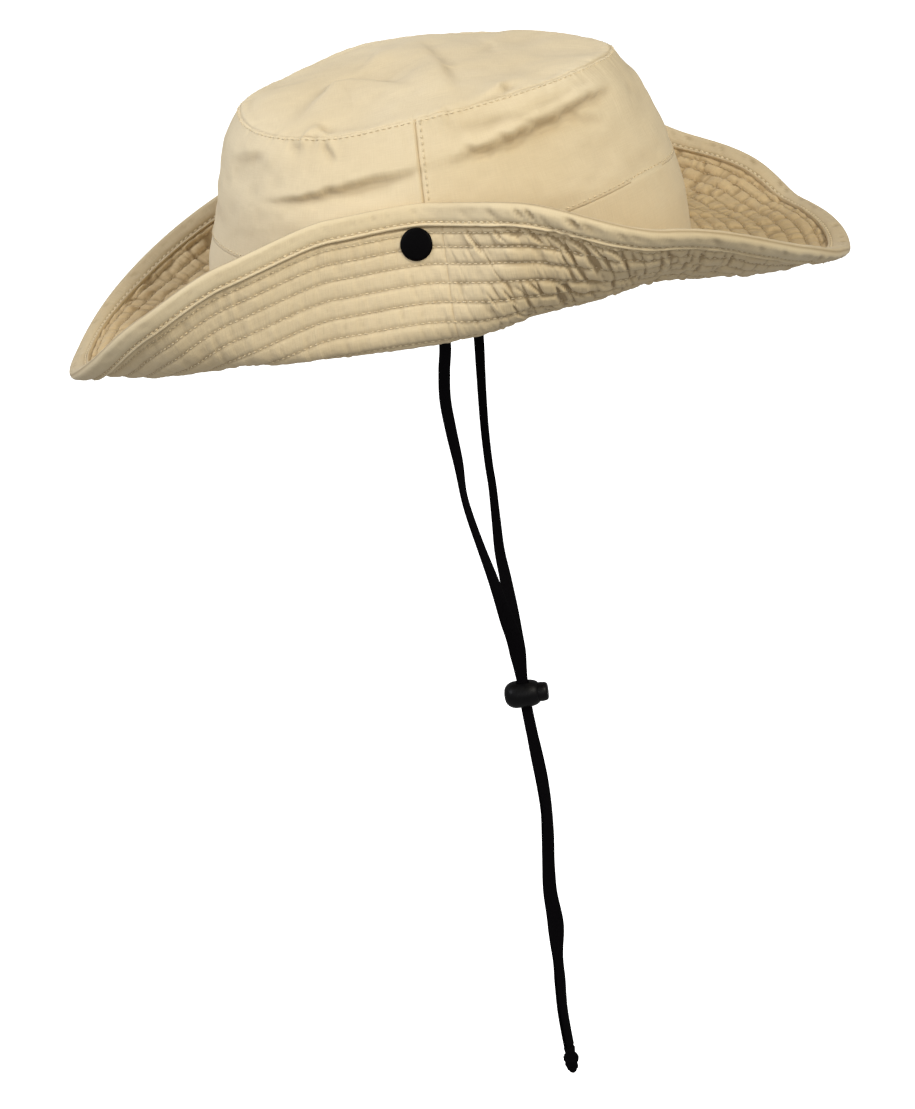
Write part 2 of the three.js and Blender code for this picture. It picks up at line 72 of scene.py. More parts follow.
# %% [markdown]
# ## Camera
#
# A product picture like this is taken from a metre or two away with a long lens. The hat is seen
# from its own left side, a little from above, and the camera is tilted, so the hat looks as if it
# leans back. The camera is built from four plain facts: where it stands around the hat, how high,
# how far it is rolled, and how far to one side of the lens's axis the hat's origin lies.

# %% Camera
IMAGE_HEIGHT = 1109
CAMERA_AZIMUTH = math.radians(96)
CAMERA_ELEVATION = math.radians(17)
CAMERA_ROLL = math.radians(9.4)
CAMERA_DISTANCE = 1.5
FOCAL_PIXELS = 3488
ORIGIN_RIGHT_PIXELS = -6.6
ORIGIN_ABOVE_PIXELS = 288.6
SENSOR_LENGTH = 36


def placed(name, data):
    """A new object in the scene that shows the data."""
    obj = bpy.data.objects.new(name, data)
    bpy.context.scene.collection.objects.link(obj)
    return obj


def place_camera():
    level = math.cos(CAMERA_ELEVATION)
    outward = Vector((
        level * math.sin(CAMERA_AZIMUTH),
        -level * math.cos(CAMERA_AZIMUTH),
        math.sin(CAMERA_ELEVATION),
    ))
    right = Vector((math.cos(CAMERA_AZIMUTH), math.sin(CAMERA_AZIMUTH), 0))
    above = outward.cross(right)
    rolled_right = right * math.cos(CAMERA_ROLL) - above * math.sin(CAMERA_ROLL)
    rolled_above = right * math.sin(CAMERA_ROLL) + above * math.cos(CAMERA_ROLL)
    backward = outward * FOCAL_PIXELS + rolled_right * ORIGIN_RIGHT_PIXELS
    backward = (backward + rolled_above * ORIGIN_ABOVE_PIXELS).normalized()
    across = (rolled_right - backward * rolled_right.dot(backward)).normalized()
    upward = backward.cross(across)
    data = bpy.data.cameras.new("camera")
    data.sensor_width = SENSOR_LENGTH
    data.lens = FOCAL_PIXELS * SENSOR_LENGTH / IMAGE_HEIGHT
    data.clip_start = 0.05
    camera = placed("camera", data)
    turn = Matrix((across, upward, backward)).transposed().to_4x4()
    camera.matrix_world = Matrix.Translation(outward * CAMERA_DISTANCE) @ turn
    bpy.context.scene.camera = camera
    return camera


camera = place_camera()
print("lens, in millimetres:", round(camera.data.lens, 1))

# %% [markdown]
# ## Numbers that run smoothly
#
# The crown and the brim are described by short tables: a few sections around the hat, each with
# its own slope or draw-in. Between the rows the values follow a smooth curve that never
# overshoots, so a table with a few rows gives an even surface. The same cell gives soft steps,
# bells and waves for the folds that are added later.

# %% Smooth values from short tables
def table_of(names, *rows):
    """A table: a dictionary for each row, with the names in their order."""
    return [dict(zip(names.split(), row)) for row in rows]


def smooth_value(knots, values, at):
    """Smooth curve through a table's rows, without overshoot."""
    knots = np.asarray(knots, float)
    values = np.asarray(values, float)
    steps = np.diff(knots)
    rates = np.diff(values) / steps
    tangents = np.empty_like(values)
    tangents[0] = rates[0]
    tangents[-1] = rates[-1]
    for k in range(1, len(knots) - 1):
        before, after = steps[k - 1], steps[k]
        if rates[k - 1] * rates[k] <= 0:
            tangents[k] = 0
        else:
            weight = (2 * after + before) / rates[k - 1] + (after + 2 * before) / rates[k]
            tangents[k] = 3 * (before + after) / weight
    at = np.asarray(at, float)
    row = np.clip(np.searchsorted(knots, at, side="right") - 1, 0, len(knots) - 2)
    span = steps[row]
    u = (at - knots[row]) / span
    rise = u * u * (3 - 2 * u)
    leave = u * (1 - u) ** 2 * span * tangents[row]
    arrive = u * u * (u - 1) * span * tangents[row + 1]
    return values[row] + (values[row + 1] - values[row]) * rise + leave + arrive


def around_value(table, column, angle):
    """The same for a table that runs once around the hat."""
    knots = [row["angle"] + 360 * turn for turn in (-1, 0, 1) for row in table]
    values = [row[column] for turn in (-1, 0, 1) for row in table]
    return smooth_value(knots, values, np.asarray(angle, float) % 360)


def soft_step(at, low, high):
    u = np.clip((np.asarray(at, float) - low) / (high - low), 0, 1)
    return u * u * (3 - 2 * u)


def bell(at, middle, half_width):
    return np.exp(-(((np.asarray(at, float) - middle) / half_width) ** 2))


def around_bell(angle, middle, half_width):
    """A bell on the circle, in degrees."""
    away = (np.asarray(angle, float) - middle + 180) % 360 - 180
    return np.exp(-((away / half_width) ** 2))


NOISE_CELLS = 64


def lattice_noise(u, v, seed):
    """Smooth noise from -1 to 1 with about one bump for each unit of u and v."""
    table = np.random.default_rng(seed).uniform(-1, 1, (NOISE_CELLS, NOISE_CELLS))
    u, v = np.broadcast_arrays(np.asarray(u, float), np.asarray(v, float))
    column, row = np.floor(u).astype(int), np.floor(v).astype(int)
    across, along = u - column, v - row
    across = across * across * across * (across * (across * 6 - 15) + 10)
    along = along * along * along * (along * (along * 6 - 15) + 10)
    corner = lambda i, j: table[(column + i) % NOISE_CELLS, (row + j) % NOISE_CELLS]
    low = corner(0, 0) * (1 - across) + corner(1, 0) * across
    high = corner(0, 1) * (1 - across) + corner(1, 1) * across
    return low * (1 - along) + high * along


def waves(u, v, seed, height, across, along, share=1.0):
    """The same noise as a height in millimetres, with bumps across by along millimetres."""
    return height * MM * share * lattice_noise(u / (across * MM), v / (along * MM), seed)


# %% [markdown]
# ## Shape of the crown and the brim
#
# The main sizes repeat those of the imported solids. The tables under them say how the cloth of a
# worn hat lies, a few millimetres from the solids' even shape. The angle runs from the front (0)
# over the wearer's left side (90) and the back (180) to the right side (270). The crown is an oval
# that draws in towards the top seam, the front more than the back. The brim is drawn section by
# section: it leaves the crown at one slope and reaches the rim at another, and where the second
# slope is past upright the brim is turned up against the crown.

# %% Crown and brim tables
CROWN_LENGTH = 208 * MM
CROWN_WIDTH = 176 * MM
CROWN_HEIGHT = 84 * MM
CROWN_CLOTH = 1.4 * MM
TOP_LENGTH = 161 * MM
TOP_WIDTH = 130 * MM
TOP_RISE = 4.5 * MM
BRIM_WIDTH = 68 * MM
BRIM_CLOTH = 2 * MM
BRIM_TOTAL = BRIM_WIDTH + CROWN_CLOTH
BINDING_WIDTH = 9.4 * MM
BINDING_CLOTH = 1 * MM
CLEARANCE = 0.3 * MM
SIDE_SEAM_SETBACK = 2 * MM
BRIM_SEAM_SETBACK = 9 * MM

CROWN_PROFILE = table_of(
    "height front back side",
    (0.0, 0.0, 0.0, 0.0), (0.24, 0.1, 0.01, 0.04), (0.36, 0.24, 0.07, 0.09),
    (0.55, 0.46, 0.22, 0.17), (0.71, 0.6, 0.43, 0.39), (0.86, 0.78, 0.62, 0.7),
    (1.0, 1.13, 0.98, 1.0),
)
TOP_SEAM = table_of(
    "angle sag",
    (0, -0.02), (40, -0.06), (60, -0.06), (90, -0.01), (120, 0.024), (150, 0.036), (180, 0.008),
    (215, -0.014), (250, 0.004), (290, 0.036), (325, -0.02),
)
BRIM_SECTIONS = table_of(
    "angle start end from to",
    (0, -18.5, -12.5, 0.0, 1.13), (25, -33.5, 35, 0.11, 0.9), (37, -28.4, 67.1, 0.106, 0.815),
    (50, -20.8, 87.6, 0.124, 0.562), (70, -25.6, 102.5, 0.085, 0.291),
    (90, -20.6, 109.9, 0.016, 0.352), (110, 14.7, 86.7, 0.0, 0.697),
    (130, 20.2, 45.6, 0.099, 0.935), (155, -8.5, 27.1, 0.101, 1.013), (168, -21, 13, 0.05, 0.99),
    (180, -24.5, 0.5, 0.0, 0.962), (205, -22, -1.5, 0.0, 0.9), (217, -16, 22, 0.12, 0.95),
    (230, -10, 45, 0.25, 1.01), (250, -2.6, 65.6, 0.0, 0.75), (270, -14, 107, 0.0, 0.33),
    (290, -9.6, 100.2, 0.04, 0.5), (310, -22.3, 71.6, 0.14, 0.86),
    (335, -28.6, 29.9, 0.15, 0.91),
)
BEND_STEPS = 40


def crown_point(angle, share):
    """Point of the crown's wall: share 0 at its base, 1 at the top seam."""
    angle, share = np.broadcast_arrays(np.asarray(angle, float), np.asarray(share, float))
    turn = np.radians(angle)
    heights = [row["height"] for row in CROWN_PROFILE]
    drawn = {name: smooth_value(heights, [row[name] for row in CROWN_PROFILE], share)
             for name in ("front", "back", "side")}
    end = np.where(np.cos(turn) > 0, drawn["front"], drawn["back"])
    half_length = CROWN_LENGTH / 2 - (CROWN_LENGTH - TOP_LENGTH) / 2 * end
    half_width = CROWN_WIDTH / 2 - (CROWN_WIDTH - TOP_WIDTH) / 2 * drawn["side"]
    height = CROWN_HEIGHT * (share + around_value(TOP_SEAM, "sag", angle) * share**2)
    return np.stack([half_width * np.sin(turn), -half_length * np.cos(turn), height], -1)


def brim_point(angle, share):
    """Point of the brim: share 0 at the crown's inner face, 1 at the rim."""
    angle, share = np.broadcast_arrays(np.asarray(angle, float), np.asarray(share, float))
    start, end, begins, ends = (
        around_value(BRIM_SECTIONS, name, angle) for name in ("start", "end", "from", "to")
    )
    reach = np.full(angle.shape, -CROWN_CLOTH)
    rise = np.zeros(angle.shape)
    for step in range(BEND_STEPS):
        bent = soft_step((step + 0.5) / BEND_STEPS * share, begins, ends)
        slope = np.radians(start + (end - start) * bent)
        reach = reach + np.cos(slope) * BRIM_TOTAL * share / BEND_STEPS
        rise = rise + np.sin(slope) * BRIM_TOTAL * share / BEND_STEPS
    turn = np.radians(angle)
    base_x = CROWN_WIDTH / 2 * np.sin(turn)
    base_y = -CROWN_LENGTH / 2 * np.cos(turn)
    out_x = base_x / CROWN_WIDTH**2
    out_y = base_y / CROWN_LENGTH**2
    length = np.hypot(out_x, out_y)
    return np.stack([base_x + out_x / length * reach, base_y + out_y / length * reach, rise], -1)


rim_low, rim_high = brim_point(np.arange(360), 1.0).min(0), brim_point(np.arange(360), 1.0).max(0)
print("rim spans, in millimetres:", np.round((rim_high - rim_low) / MM, 1))

# %% [markdown]
# ## Two ways to make a mesh
#
# A sewn piece of cloth is a shell: two skins a little apart, closed around their edges. It is
# made from two grids of points, one for each skin. A round or braided piece is a tube: a ring of
# points repeated along a path and closed at both ends. Both keep a UV map in metres, so that the
# weave in the materials has its real size everywhere. A shell also keeps how deep each of its
# points lies below the cloth around it, and the cloth's material paints shade there: a darker
# colour that stands in for the shadow in the creases.

# %% Shells and tubes
HOLLOW_DEPTH = 0.5 * MM


def smooth_faces(mesh):
    mesh.polygons.foreach_set("use_smooth", np.ones(len(mesh.polygons), bool))


def new_object(name, corners, faces, face_uv=None):
    mesh = bpy.data.meshes.new(name)
    mesh.from_pydata(np.asarray(corners).tolist(), [], np.asarray(faces).tolist())
    if face_uv is not None:
        layer = mesh.uv_layers.new(name="cut")
        layer.data.foreach_set("uv", np.asarray(face_uv, float).ravel())
    smooth_faces(mesh)
    mesh.update()
    return placed(name, mesh)


def crease_shade_share(field, across=5, along=3):
    """From 0 to 1, how deep a place lies below its surroundings, for painted crease shade. HOLLOW_DEPTH
    counts as 1.
    """
    padded = np.pad(field, ((across, across), (along, along)), mode="edge")
    columns, rows = field.shape
    total = np.zeros_like(field)
    for i in range(2 * across + 1):
        for j in range(2 * along + 1):
            total += padded[i:i + columns, j:j + rows]
    around = total / ((2 * across + 1) * (2 * along + 1))
    return np.clip((around - field) / HOLLOW_DEPTH, 0, 1)


def grid_quads(index, turned=False):
    a, b = index[:-1, :-1].ravel(), index[1:, :-1].ravel()
    c, d = index[1:, 1:].ravel(), index[:-1, 1:].ravel()
    return np.stack([a, d, c, b] if turned else [a, b, c, d], -1)


def shell(name, outside, inside, cut, whole_turn=False, crease_shades=None):
    """Two skins of cloth joined at their edges. The grids are columns by rows by three."""
    columns, rows = outside.shape[:2]
    corners = np.concatenate([outside.reshape(-1, 3), inside.reshape(-1, 3)])
    uv = np.concatenate([cut.reshape(-1, 2), cut.reshape(-1, 2)])
    index = np.arange(columns * rows).reshape(columns, rows)
    if whole_turn:
        index = np.concatenate([index, index[:1]])
    far = index + columns * rows
    edges = [(index[:, 0], far[:, 0]), (far[:, -1], index[:, -1])]
    if not whole_turn:
        edges += [(far[0], index[0]), (index[-1], far[-1])]
    faces = [grid_quads(index), grid_quads(far, turned=True)]
    faces += [grid_quads(np.stack(pair, -1), turned=True) for pair in edges]
    faces = np.concatenate(faces)
    piece = new_object(name, corners, faces, uv[faces.ravel()])
    # Painted shade: each point keeps a share by which the cloth's material darkens the creases
    if crease_shades is not None:
        layer = piece.data.attributes.new("crease_shade", "FLOAT", "POINT")
        layer.data.foreach_set("value", np.concatenate([part.ravel() for part in crease_shades]))
    return piece


def face_normals(grid, whole_turn=False):
    """Unit normals of a grid of points."""
    if whole_turn:
        padded = np.concatenate([grid[-1:], grid, grid[:1]])
        around = (padded[2:] - padded[:-2]) / 2
    else:
        around = np.gradient(grid, axis=0)
    along = np.gradient(grid, axis=1)
    normal = np.cross(around, along)
    return normal / np.maximum(np.linalg.norm(normal, axis=-1, keepdims=True), 1e-12)


def unit(vectors):
    return vectors / np.linalg.norm(vectors, axis=-1, keepdims=True)


def square_to(tangent, vectors):
    """Unit vectors along the part of each vector that stands square to the tangent."""
    return unit(vectors - tangent * np.sum(vectors * tangent, 1, keepdims=True))


def outward_faces(mesh):
    """Turns every face outward and smooths the shading."""
    work = bmesh.new()
    work.from_mesh(mesh)
    bmesh.ops.recalc_face_normals(work, faces=work.faces)
    work.to_mesh(mesh)
    work.free()
    smooth_faces(mesh)


def tube(name, rings, cut):
    """Rings of points along a path, closed by a fan at each end."""
    count, around = rings.shape[:2]
    ends = np.stack([rings[0].mean(0), rings[-1].mean(0)])
    corners = np.concatenate([rings.reshape(-1, 3), ends])
    uv = np.concatenate([cut.reshape(-1, 2), cut[[0, -1], 0]])
    index = np.arange(count * around).reshape(count, around)
    index = np.concatenate([index, index[:, :1]], 1)
    faces = grid_quads(index).tolist()
    first, last = count * around, count * around + 1
    faces += [[first, int(b), int(a)] for a, b in zip(index[0, :-1], index[0, 1:])]
    faces += [[last, int(a), int(b)] for a, b in zip(index[-1, :-1], index[-1, 1:])]
    flat = [corner for face in faces for corner in face]
    mesh = bpy.data.meshes.new(name)
    mesh.from_pydata(corners.tolist(), [], faces)
    mesh.uv_layers.new(name="cut").data.foreach_set("uv", uv[flat].ravel())
    outward_faces(mesh)
    return placed(name, mesh)


# %% [markdown]
# ## Chin cord
#
# The chin cord is one soft flat braid, 5 mm wide. Both ends are sewn inside the crown, and the
# two strands hang down through the cord lock and are tied together at the end. A flat braid
# never hangs without some twist, so its section turns on the way down: here broad, there edge
# on. It is also spread a little where it is squeezed, above the lock and in the tail. The route
# is a short list of points, joined by a smooth curve, and the braid's plait is real relief:
# narrow columns of slanted strands, the slant changing side from column to column.

# %% Cord routes
CORD_WIDTH = 5 * MM
CORD_THICKNESS = 1.4 * MM
BRAID_SECTION_POINTS = 22
TAIL_APART = 0.86
LEFT_CORD_ROUTE = [
    (85.2, 1, 14), (84.8, 1, 5), (80, 0.8, -8), (72, -2.2, -22), (64, -4.7, -37),
    (54, -5.6, -55), (45, -5.8, -74), (36, -6.8, -92), (30, -6.4, -104), (22, -4.6, -123),
    (16, -2.9, -138), (11, -1.8, -150), (6.5, -0.6, -163), (3.2, 1, -175), (1.4, 1.4, -185),
    (0.86, 1.3, -194), (0.86, 1.3, -203.5), (0.86, 1.4, -213),
]
RIGHT_CORD_ROUTE = [
    (-85.2, 1, 14), (-84.8, 1, 5), (-80, 1, -8), (-71, 1.2, -27), (-57, 1.4, -49.5),
    (-50, 0.4, -65), (-44.5, -0.4, -77), (-38, -1, -90.5), (-31.5, -1, -104.5),
    (-27.5, -0.6, -112.5), (-21, -0.7, -126), (-15, -0.8, -139.5), (-10, 0.3, -151),
    (-6, 1, -163), (-3, 1.2, -175), (-1.4, 1.4, -185), (-0.86, 1.3, -194),
    (-0.86, 1.3, -203.5), (-0.86, 1.4, -213),
]
TAIL_ROUTE = [
    (2.2, -232), (2.8, -248), (2.6, -262), (1.4, -275), (-0.6, -291), (-1.8, -304),
    (-1.7, -320), (-3, -335), (-4, -350), (-5.1, -366), (-5.1, -378), (-4.9, -386),
]

# Turn of the braid's section in degrees, by height in millimetres. The tail's turn is shared
TAIL_TWIST = (
    (-180, 8), (-194, 0), (-214, 0), (-240, 25), (-262, 48), (-285, 20), (-310, 8), (-340, 40),
    (-370, 58), (-390, 60),
)
LEFT_TWIST = table_of(
    "height turn",
    (20, 0), (-20, 5), (-45, 10), (-70, 35), (-95, 62), (-120, 58), (-150, 38), *TAIL_TWIST,
)
RIGHT_TWIST = table_of(
    "height turn",
    (20, 0), (-20, 10), (-50, 25), (-75, 42), (-105, 48), (-130, 42), (-155, 30), *TAIL_TWIST,
)
RING_SPACING = 0.5 * MM
TAIL_STARTS = -213 * MM


def smooth_path(points):
    """Centripetal curve through the points, as rings RING_SPACING apart."""
    points = np.asarray(points, float)
    first = points[0] * 2 - points[1]
    last = points[-1] * 2 - points[-2]
    points = np.concatenate([[first], points, [last]])
    pieces = []
    for k in range(len(points) - 3):
        a, b, c, d = points[k:k + 4]
        t1, t2, t3 = np.cumsum([np.linalg.norm(q - p) ** 0.5 for p, q in ((a, b), (b, c), (c, d))])
        t = np.linspace(t1, t2, 24, endpoint=False)[:, None]
        ab = (t1 - t) / t1 * a + t / t1 * b
        bc = (t2 - t) / (t2 - t1) * b + (t - t1) / (t2 - t1) * c
        cd = (t3 - t) / (t3 - t2) * c + (t - t2) / (t3 - t2) * d
        abc = (t2 - t) / t2 * ab + t / t2 * bc
        bcd = (t3 - t) / (t3 - t1) * bc + (t - t1) / (t3 - t1) * cd
        pieces.append((t2 - t) / (t2 - t1) * abc + (t - t1) / (t2 - t1) * bcd)
    fine = np.concatenate(pieces + [points[-2:-1]])
    run = np.concatenate([[0], np.cumsum(np.linalg.norm(np.diff(fine, axis=0), axis=1))])
    at = np.linspace(0, run[-1], int(run[-1] / RING_SPACING))
    return np.stack([np.interp(at, run, fine[:, k]) for k in range(3)], -1), at


def braid_section():
    """Half-width and half-thickness of the braid's rounded section, around one turn."""
    turn = np.linspace(0, 2 * np.pi, BRAID_SECTION_POINTS, endpoint=False)
    across = np.sign(np.cos(turn)) * np.abs(np.cos(turn)) ** 0.62
    up = np.sign(np.sin(turn)) * np.abs(np.sin(turn)) ** 0.8
    return across * CORD_WIDTH / 2, up * CORD_THICKNESS / 2


PLAIT_COLUMN = 0.84 * MM
PLAIT_PITCH = 1.5 * MM
PLAIT_RELIEF = 0.13 * MM


def plait_relief(across, run, up):
    """How far a strand of the plait stands out at a place on the braid."""
    column = np.floor(across / PLAIT_COLUMN + 0.5)
    within = across / PLAIT_COLUMN - column
    slant = np.where(column % 2 == 0, 1.0, -1.0) * np.sign(up + 1e-9)
    strand = np.cos(2 * np.pi * (run / PLAIT_PITCH + slant * within * 0.55))
    furrow = np.cos(np.pi * within) ** 2
    return PLAIT_RELIEF * (0.55 * strand * furrow + 0.45 * furrow - 0.3)


# How much the braid is spread or pinched across its width, by height in millimetres
SPREAD = table_of(
    "height times",
    (20, 1.0), (-110, 1.0), (-150, 1.2), (-182, 1.45), (-192, 1.15), (-198, 1.0), (-212, 1.0),
    (-240, 1.14), (-285, 1.12), (-300, 1.25), (-322, 1.5), (-342, 0.95), (-352, 1.12),
    (-390, 1.12),
)


def by_height(table, column, height):
    """Smooth value from a table that runs down the cord."""
    heights = [row["height"] * MM for row in table][::-1]
    return smooth_value(heights, [row[column] for row in table][::-1], height)


def make_cord(name, route, twist, side):
    tail = [(side * TAIL_APART, y, z) for y, z in TAIL_ROUTE]
    centre, run = smooth_path(np.array(list(route) + tail) * MM)
    turn = np.radians(by_height(twist, "turn", centre[:, 2]))
    in_tail = soft_step(-centre[:, 2], -TAIL_STARTS, -TAIL_STARTS + 12 * MM)
    pair_shift = side * TAIL_APART * MM * in_tail
    centre[:, 0] += pair_shift * (np.cos(turn) - 1)
    centre[:, 1] += pair_shift * np.sin(turn)
    tangent = unit(np.gradient(centre, axis=0))
    thick = np.stack([np.cos(turn), np.sin(turn), np.zeros_like(turn)], -1)
    thick = square_to(tangent, thick)
    broad = np.cross(thick, tangent)
    across, up = braid_section()
    relief = plait_relief(across[None, :], run[:, None], up[None, :])
    scale = 1 + relief / (CORD_THICKNESS / 2)
    broad = broad * by_height(SPREAD, "times", centre[:, 2])[:, None]
    rings = (centre[:, None, :] + broad[:, None, :] * (across[None, :, None])
             + thick[:, None, :] * (up[None, :] * scale)[..., None])
    cut = np.stack(np.broadcast_arrays(across[None, :], run[:, None]), -1)
    return tube(name, rings, cut), centre, float(run[-1])


cord_left, left_path, left_length = make_cord("braid_left", LEFT_CORD_ROUTE, LEFT_TWIST, 1)
cord_right, right_path, right_length = make_cord("braid_right", RIGHT_CORD_ROUTE, RIGHT_TWIST, -1)
print("cord lengths, in metres:", round(left_length, 4), round(right_length, 4))

# %% [markdown]
# ## Folds in cloth
#
# Soft thin cloth doesn't bend evenly. Where it has been pressed or crushed it keeps creases: the
# cloth stands proud on one side of the crease and falls away under it. Each crease here is a bent
# line drawn on the cut, with a height above it, a dip below it, and how far each of them
# reaches. The line's sharp edge is what catches the light. This could be simulated, but the folds
# would then lie somewhere else each time, and these have to lie where the real hat has them.

# %% Creases along a bent line
DEGREE_RUN = 1.68 * MM


def beside_line(u, v, points):
    """Distance from a bent line, positive above it, and how far along it the nearest point is."""
    points = np.asarray(points, float)
    lengths = np.linalg.norm(np.diff(points, axis=0), axis=1)
    starts = np.concatenate([[0], np.cumsum(lengths)])
    best = np.full(np.shape(u), np.inf)
    side = np.zeros(np.shape(u))
    along = np.zeros(np.shape(u))
    for k, length in enumerate(lengths):
        way = (points[k + 1] - points[k]) / length
        du, dv = u - points[k, 0], v - points[k, 1]
        run = np.clip(du * way[0] + dv * way[1], 0, length)
        distance = np.hypot(du - run * way[0], dv - run * way[1])
        nearer = distance < best
        cross = way[0] * dv - way[1] * du
        side = np.where(nearer, np.sign(cross) * distance, side)
        along = np.where(nearer, (starts[k] + run) / starts[-1], along)
        best = np.where(nearer, distance, best)
    return side, along


def fading_ends(along, fade):
    """1 along the middle of a line, down to 0 at its two ends."""
    return soft_step(along, 0, fade) * soft_step(1 - along, 0, fade)


def crease(u, v, line, rise, dip, above, below, edge, fade=0.4):
    """Cloth that stands proud above a line and dips under it."""
    side, along = beside_line(u, v, line)
    ends = fading_ends(along, fade)
    side = side + waves(u, v, 9, 0.5, 5, 5)
    over = 0.5 * (1 + np.tanh(side / edge))
    proud = rise * np.exp(-((np.maximum(side, 0) / above) ** 2))
    sunk = dip * np.exp(-((np.minimum(side, 0) / below) ** 2))
    return ends * (over * proud - (1 - over) * sunk)


def creases(u, v, table, across, along):
    """All the creases of a table, added up. Across and along scale the lines to metres."""
    out = np.zeros(np.shape(u))
    for row in table:
        line = [(a * across, b * along) for a, b in row["line"]]
        sizes = {name: row[name] * MM for name in ("rise", "dip", "above", "below", "edge")}
        out = out + crease(u, v, line, **sizes)
    return out


# %% [markdown]
# ## Crown wall
#
# The crown wall is two pieces of thin cloth, a front and a back, sewn together at the sides. Its
# upper edge is sewn to the top panel and its lower edge is turned over the band and stitched.
# Worn and packed flat many times, it has long soft creases that run back from the front, and the
# cloth hangs in from a proud fold on the left side. Each half is a shell whose two skins share the
# same folds.

# %% Crown wall
WALL_COLUMNS = 320
WALL_ROWS = 56
BAND_SEAM = table_of(
    "angle share",
    (0, 0.362), (20, 0.37), (60, 0.352), (90, 0.362), (125, 0.44), (150, 0.463), (180, 0.435),
    (230, 0.42), (270, 0.365),
)
WALL_TOP = 1 - 0.15 * MM / CROWN_HEIGHT
WALL_SEAM_OPENING = 0.05 * MM
LAP = 0.05 * MM

# Lines are given by angle in degrees and share of the crown's height, other lengths in millimetres
WALL_CREASES = table_of(
    "line rise dip above below edge",
    ([(40, 0.69), (50, 0.695), (58, 0.718), (66, 0.748), (78, 0.772), (98, 0.79)],
     1.8, 2.4, 9, 14, 0.8),
    ([(20, 0.835), (28, 0.862), (36, 0.9), (44, 0.91)], 0.9, 1.2, 6, 8, 1.5),
    ([(61.5, 1.0), (64, 0.95), (68.5, 0.875)], 0.7, 1.2, 3.5, 3, 0.7),
    ([(48, 0.995), (53, 0.955), (57, 0.945)], 0.5, 0.9, 4, 4, 1.0),
    ([(92.5, 0.77), (99, 0.793), (106, 0.808), (116, 0.824), (126, 0.85), (138, 0.872),
      (156, 0.89)], 2.8, 3.2, 8, 18, 1.2),
    ([(102, 0.85), (106, 0.812), (112, 0.808)], 0.8, 1.9, 3.4, 3, 0.6),
    ([(111.4, 0.862), (115.4, 0.825), (121, 0.83)], 0.8, 1.9, 3.4, 3, 0.6),
    ([(119, 0.885), (125.4, 0.85), (134, 0.846)], 0.9, 2.2, 4, 3.6, 0.6),
    ([(130, 0.858), (134, 0.872), (144, 0.882), (156, 0.888)], 1.2, 1.8, 4.5, 5, 0.7),
    ([(131, 0.9), (135, 0.86), (141, 0.815), (148, 0.77)], 1.0, 1.4, 6, 5, 1.2),
    ([(96, 0.985), (104, 0.93), (118, 0.91), (134, 0.935), (150, 0.965)], 1.1, 1.0, 6, 6, 1.6),
    ([(200, 0.8), (222, 0.72), (250, 0.7)], 1.3, 2.0, 9, 7, 1.0),
    ([(262, 0.84), (285, 0.8), (310, 0.71)], 1.3, 2.0, 9, 7, 1.0),
    ([(318, 0.9), (335, 0.86), (350, 0.88)], 0.8, 1.3, 5, 5, 1.0),
)


def wall_fold(angle, share):
    """How far the crown's cloth stands out from its even shape."""
    u = angle * DEGREE_RUN
    v = share * CROWN_HEIGHT
    out = creases(u, v, WALL_CREASES, DEGREE_RUN, CROWN_HEIGHT)
    free = soft_step(share, 0.4, 0.55) * soft_step(1 - share, 0.0, 0.12)
    out += waves(u, v, 3, 1.1, 26, 13, free)
    out += waves(u, v, 4, 0.22, 9, 5, free)
    return out * soft_step(1 - share, 0.0, 0.03) + seam_pucker(angle, (1 - share) * CROWN_HEIGHT)


def seam_pucker(angle, away):
    """Small gathers along the top seam, the same on both sides of it."""
    run = angle * DEGREE_RUN
    fine = lattice_noise(run / (3.4 * MM), 0.0, 5) + 0.7 * lattice_noise(run / (7.5 * MM), 0.0, 6)
    gather = 0.2 + 0.5 * around_bell(angle, 55, 9) + 0.4 * around_bell(angle, 101, 7)
    ends = around_bell(angle, 8, 9) + around_bell(angle, 170, 9)
    ditch = (0.3 + 1.1 * ends) * bell(away, 0, 0.7 * MM)
    return MM * (gather * fine * bell(away, 1.2 * MM, 3 * MM) - ditch)


def angle_at_setback(surface, share, setback, guess):
    """Angle at which a row of a surface crosses the plane of a side seam."""
    angle = np.full(np.shape(share), float(guess))
    for _ in range(6):
        here = surface(angle, share)[..., 1] - setback
        slope = (surface(angle + 0.1, share)[..., 1] - surface(angle - 0.1, share)[..., 1]) / 0.2
        angle = angle - here / slope
    return angle


CROWD_FADES = (0.28, 0.42)


def crowded_steps(columns, crowd):
    """Steps from 0 to 1 that lie closer together over the first third."""
    at = np.linspace(0, 1, 2001)
    total = np.cumsum(1 + crowd * (1 - soft_step(at, *CROWD_FADES)))
    return np.interp(np.linspace(total[0], total[-1], columns), total, at)


def half_angles(surface, shares, setback, half, columns, opening, crowd=0):
    """Angles of a half piece, column by row: it ends at the planes of the two side seams."""
    gap = opening / 2 if half == "back" else -opening / 2
    left = angle_at_setback(surface, shares, setback + gap, 90)
    right = angle_at_setback(surface, shares, setback + gap, 270)
    first, last = (left, right) if half == "back" else (right - 360, left)
    return first + (last - first) * crowded_steps(columns, crowd)[:, None]


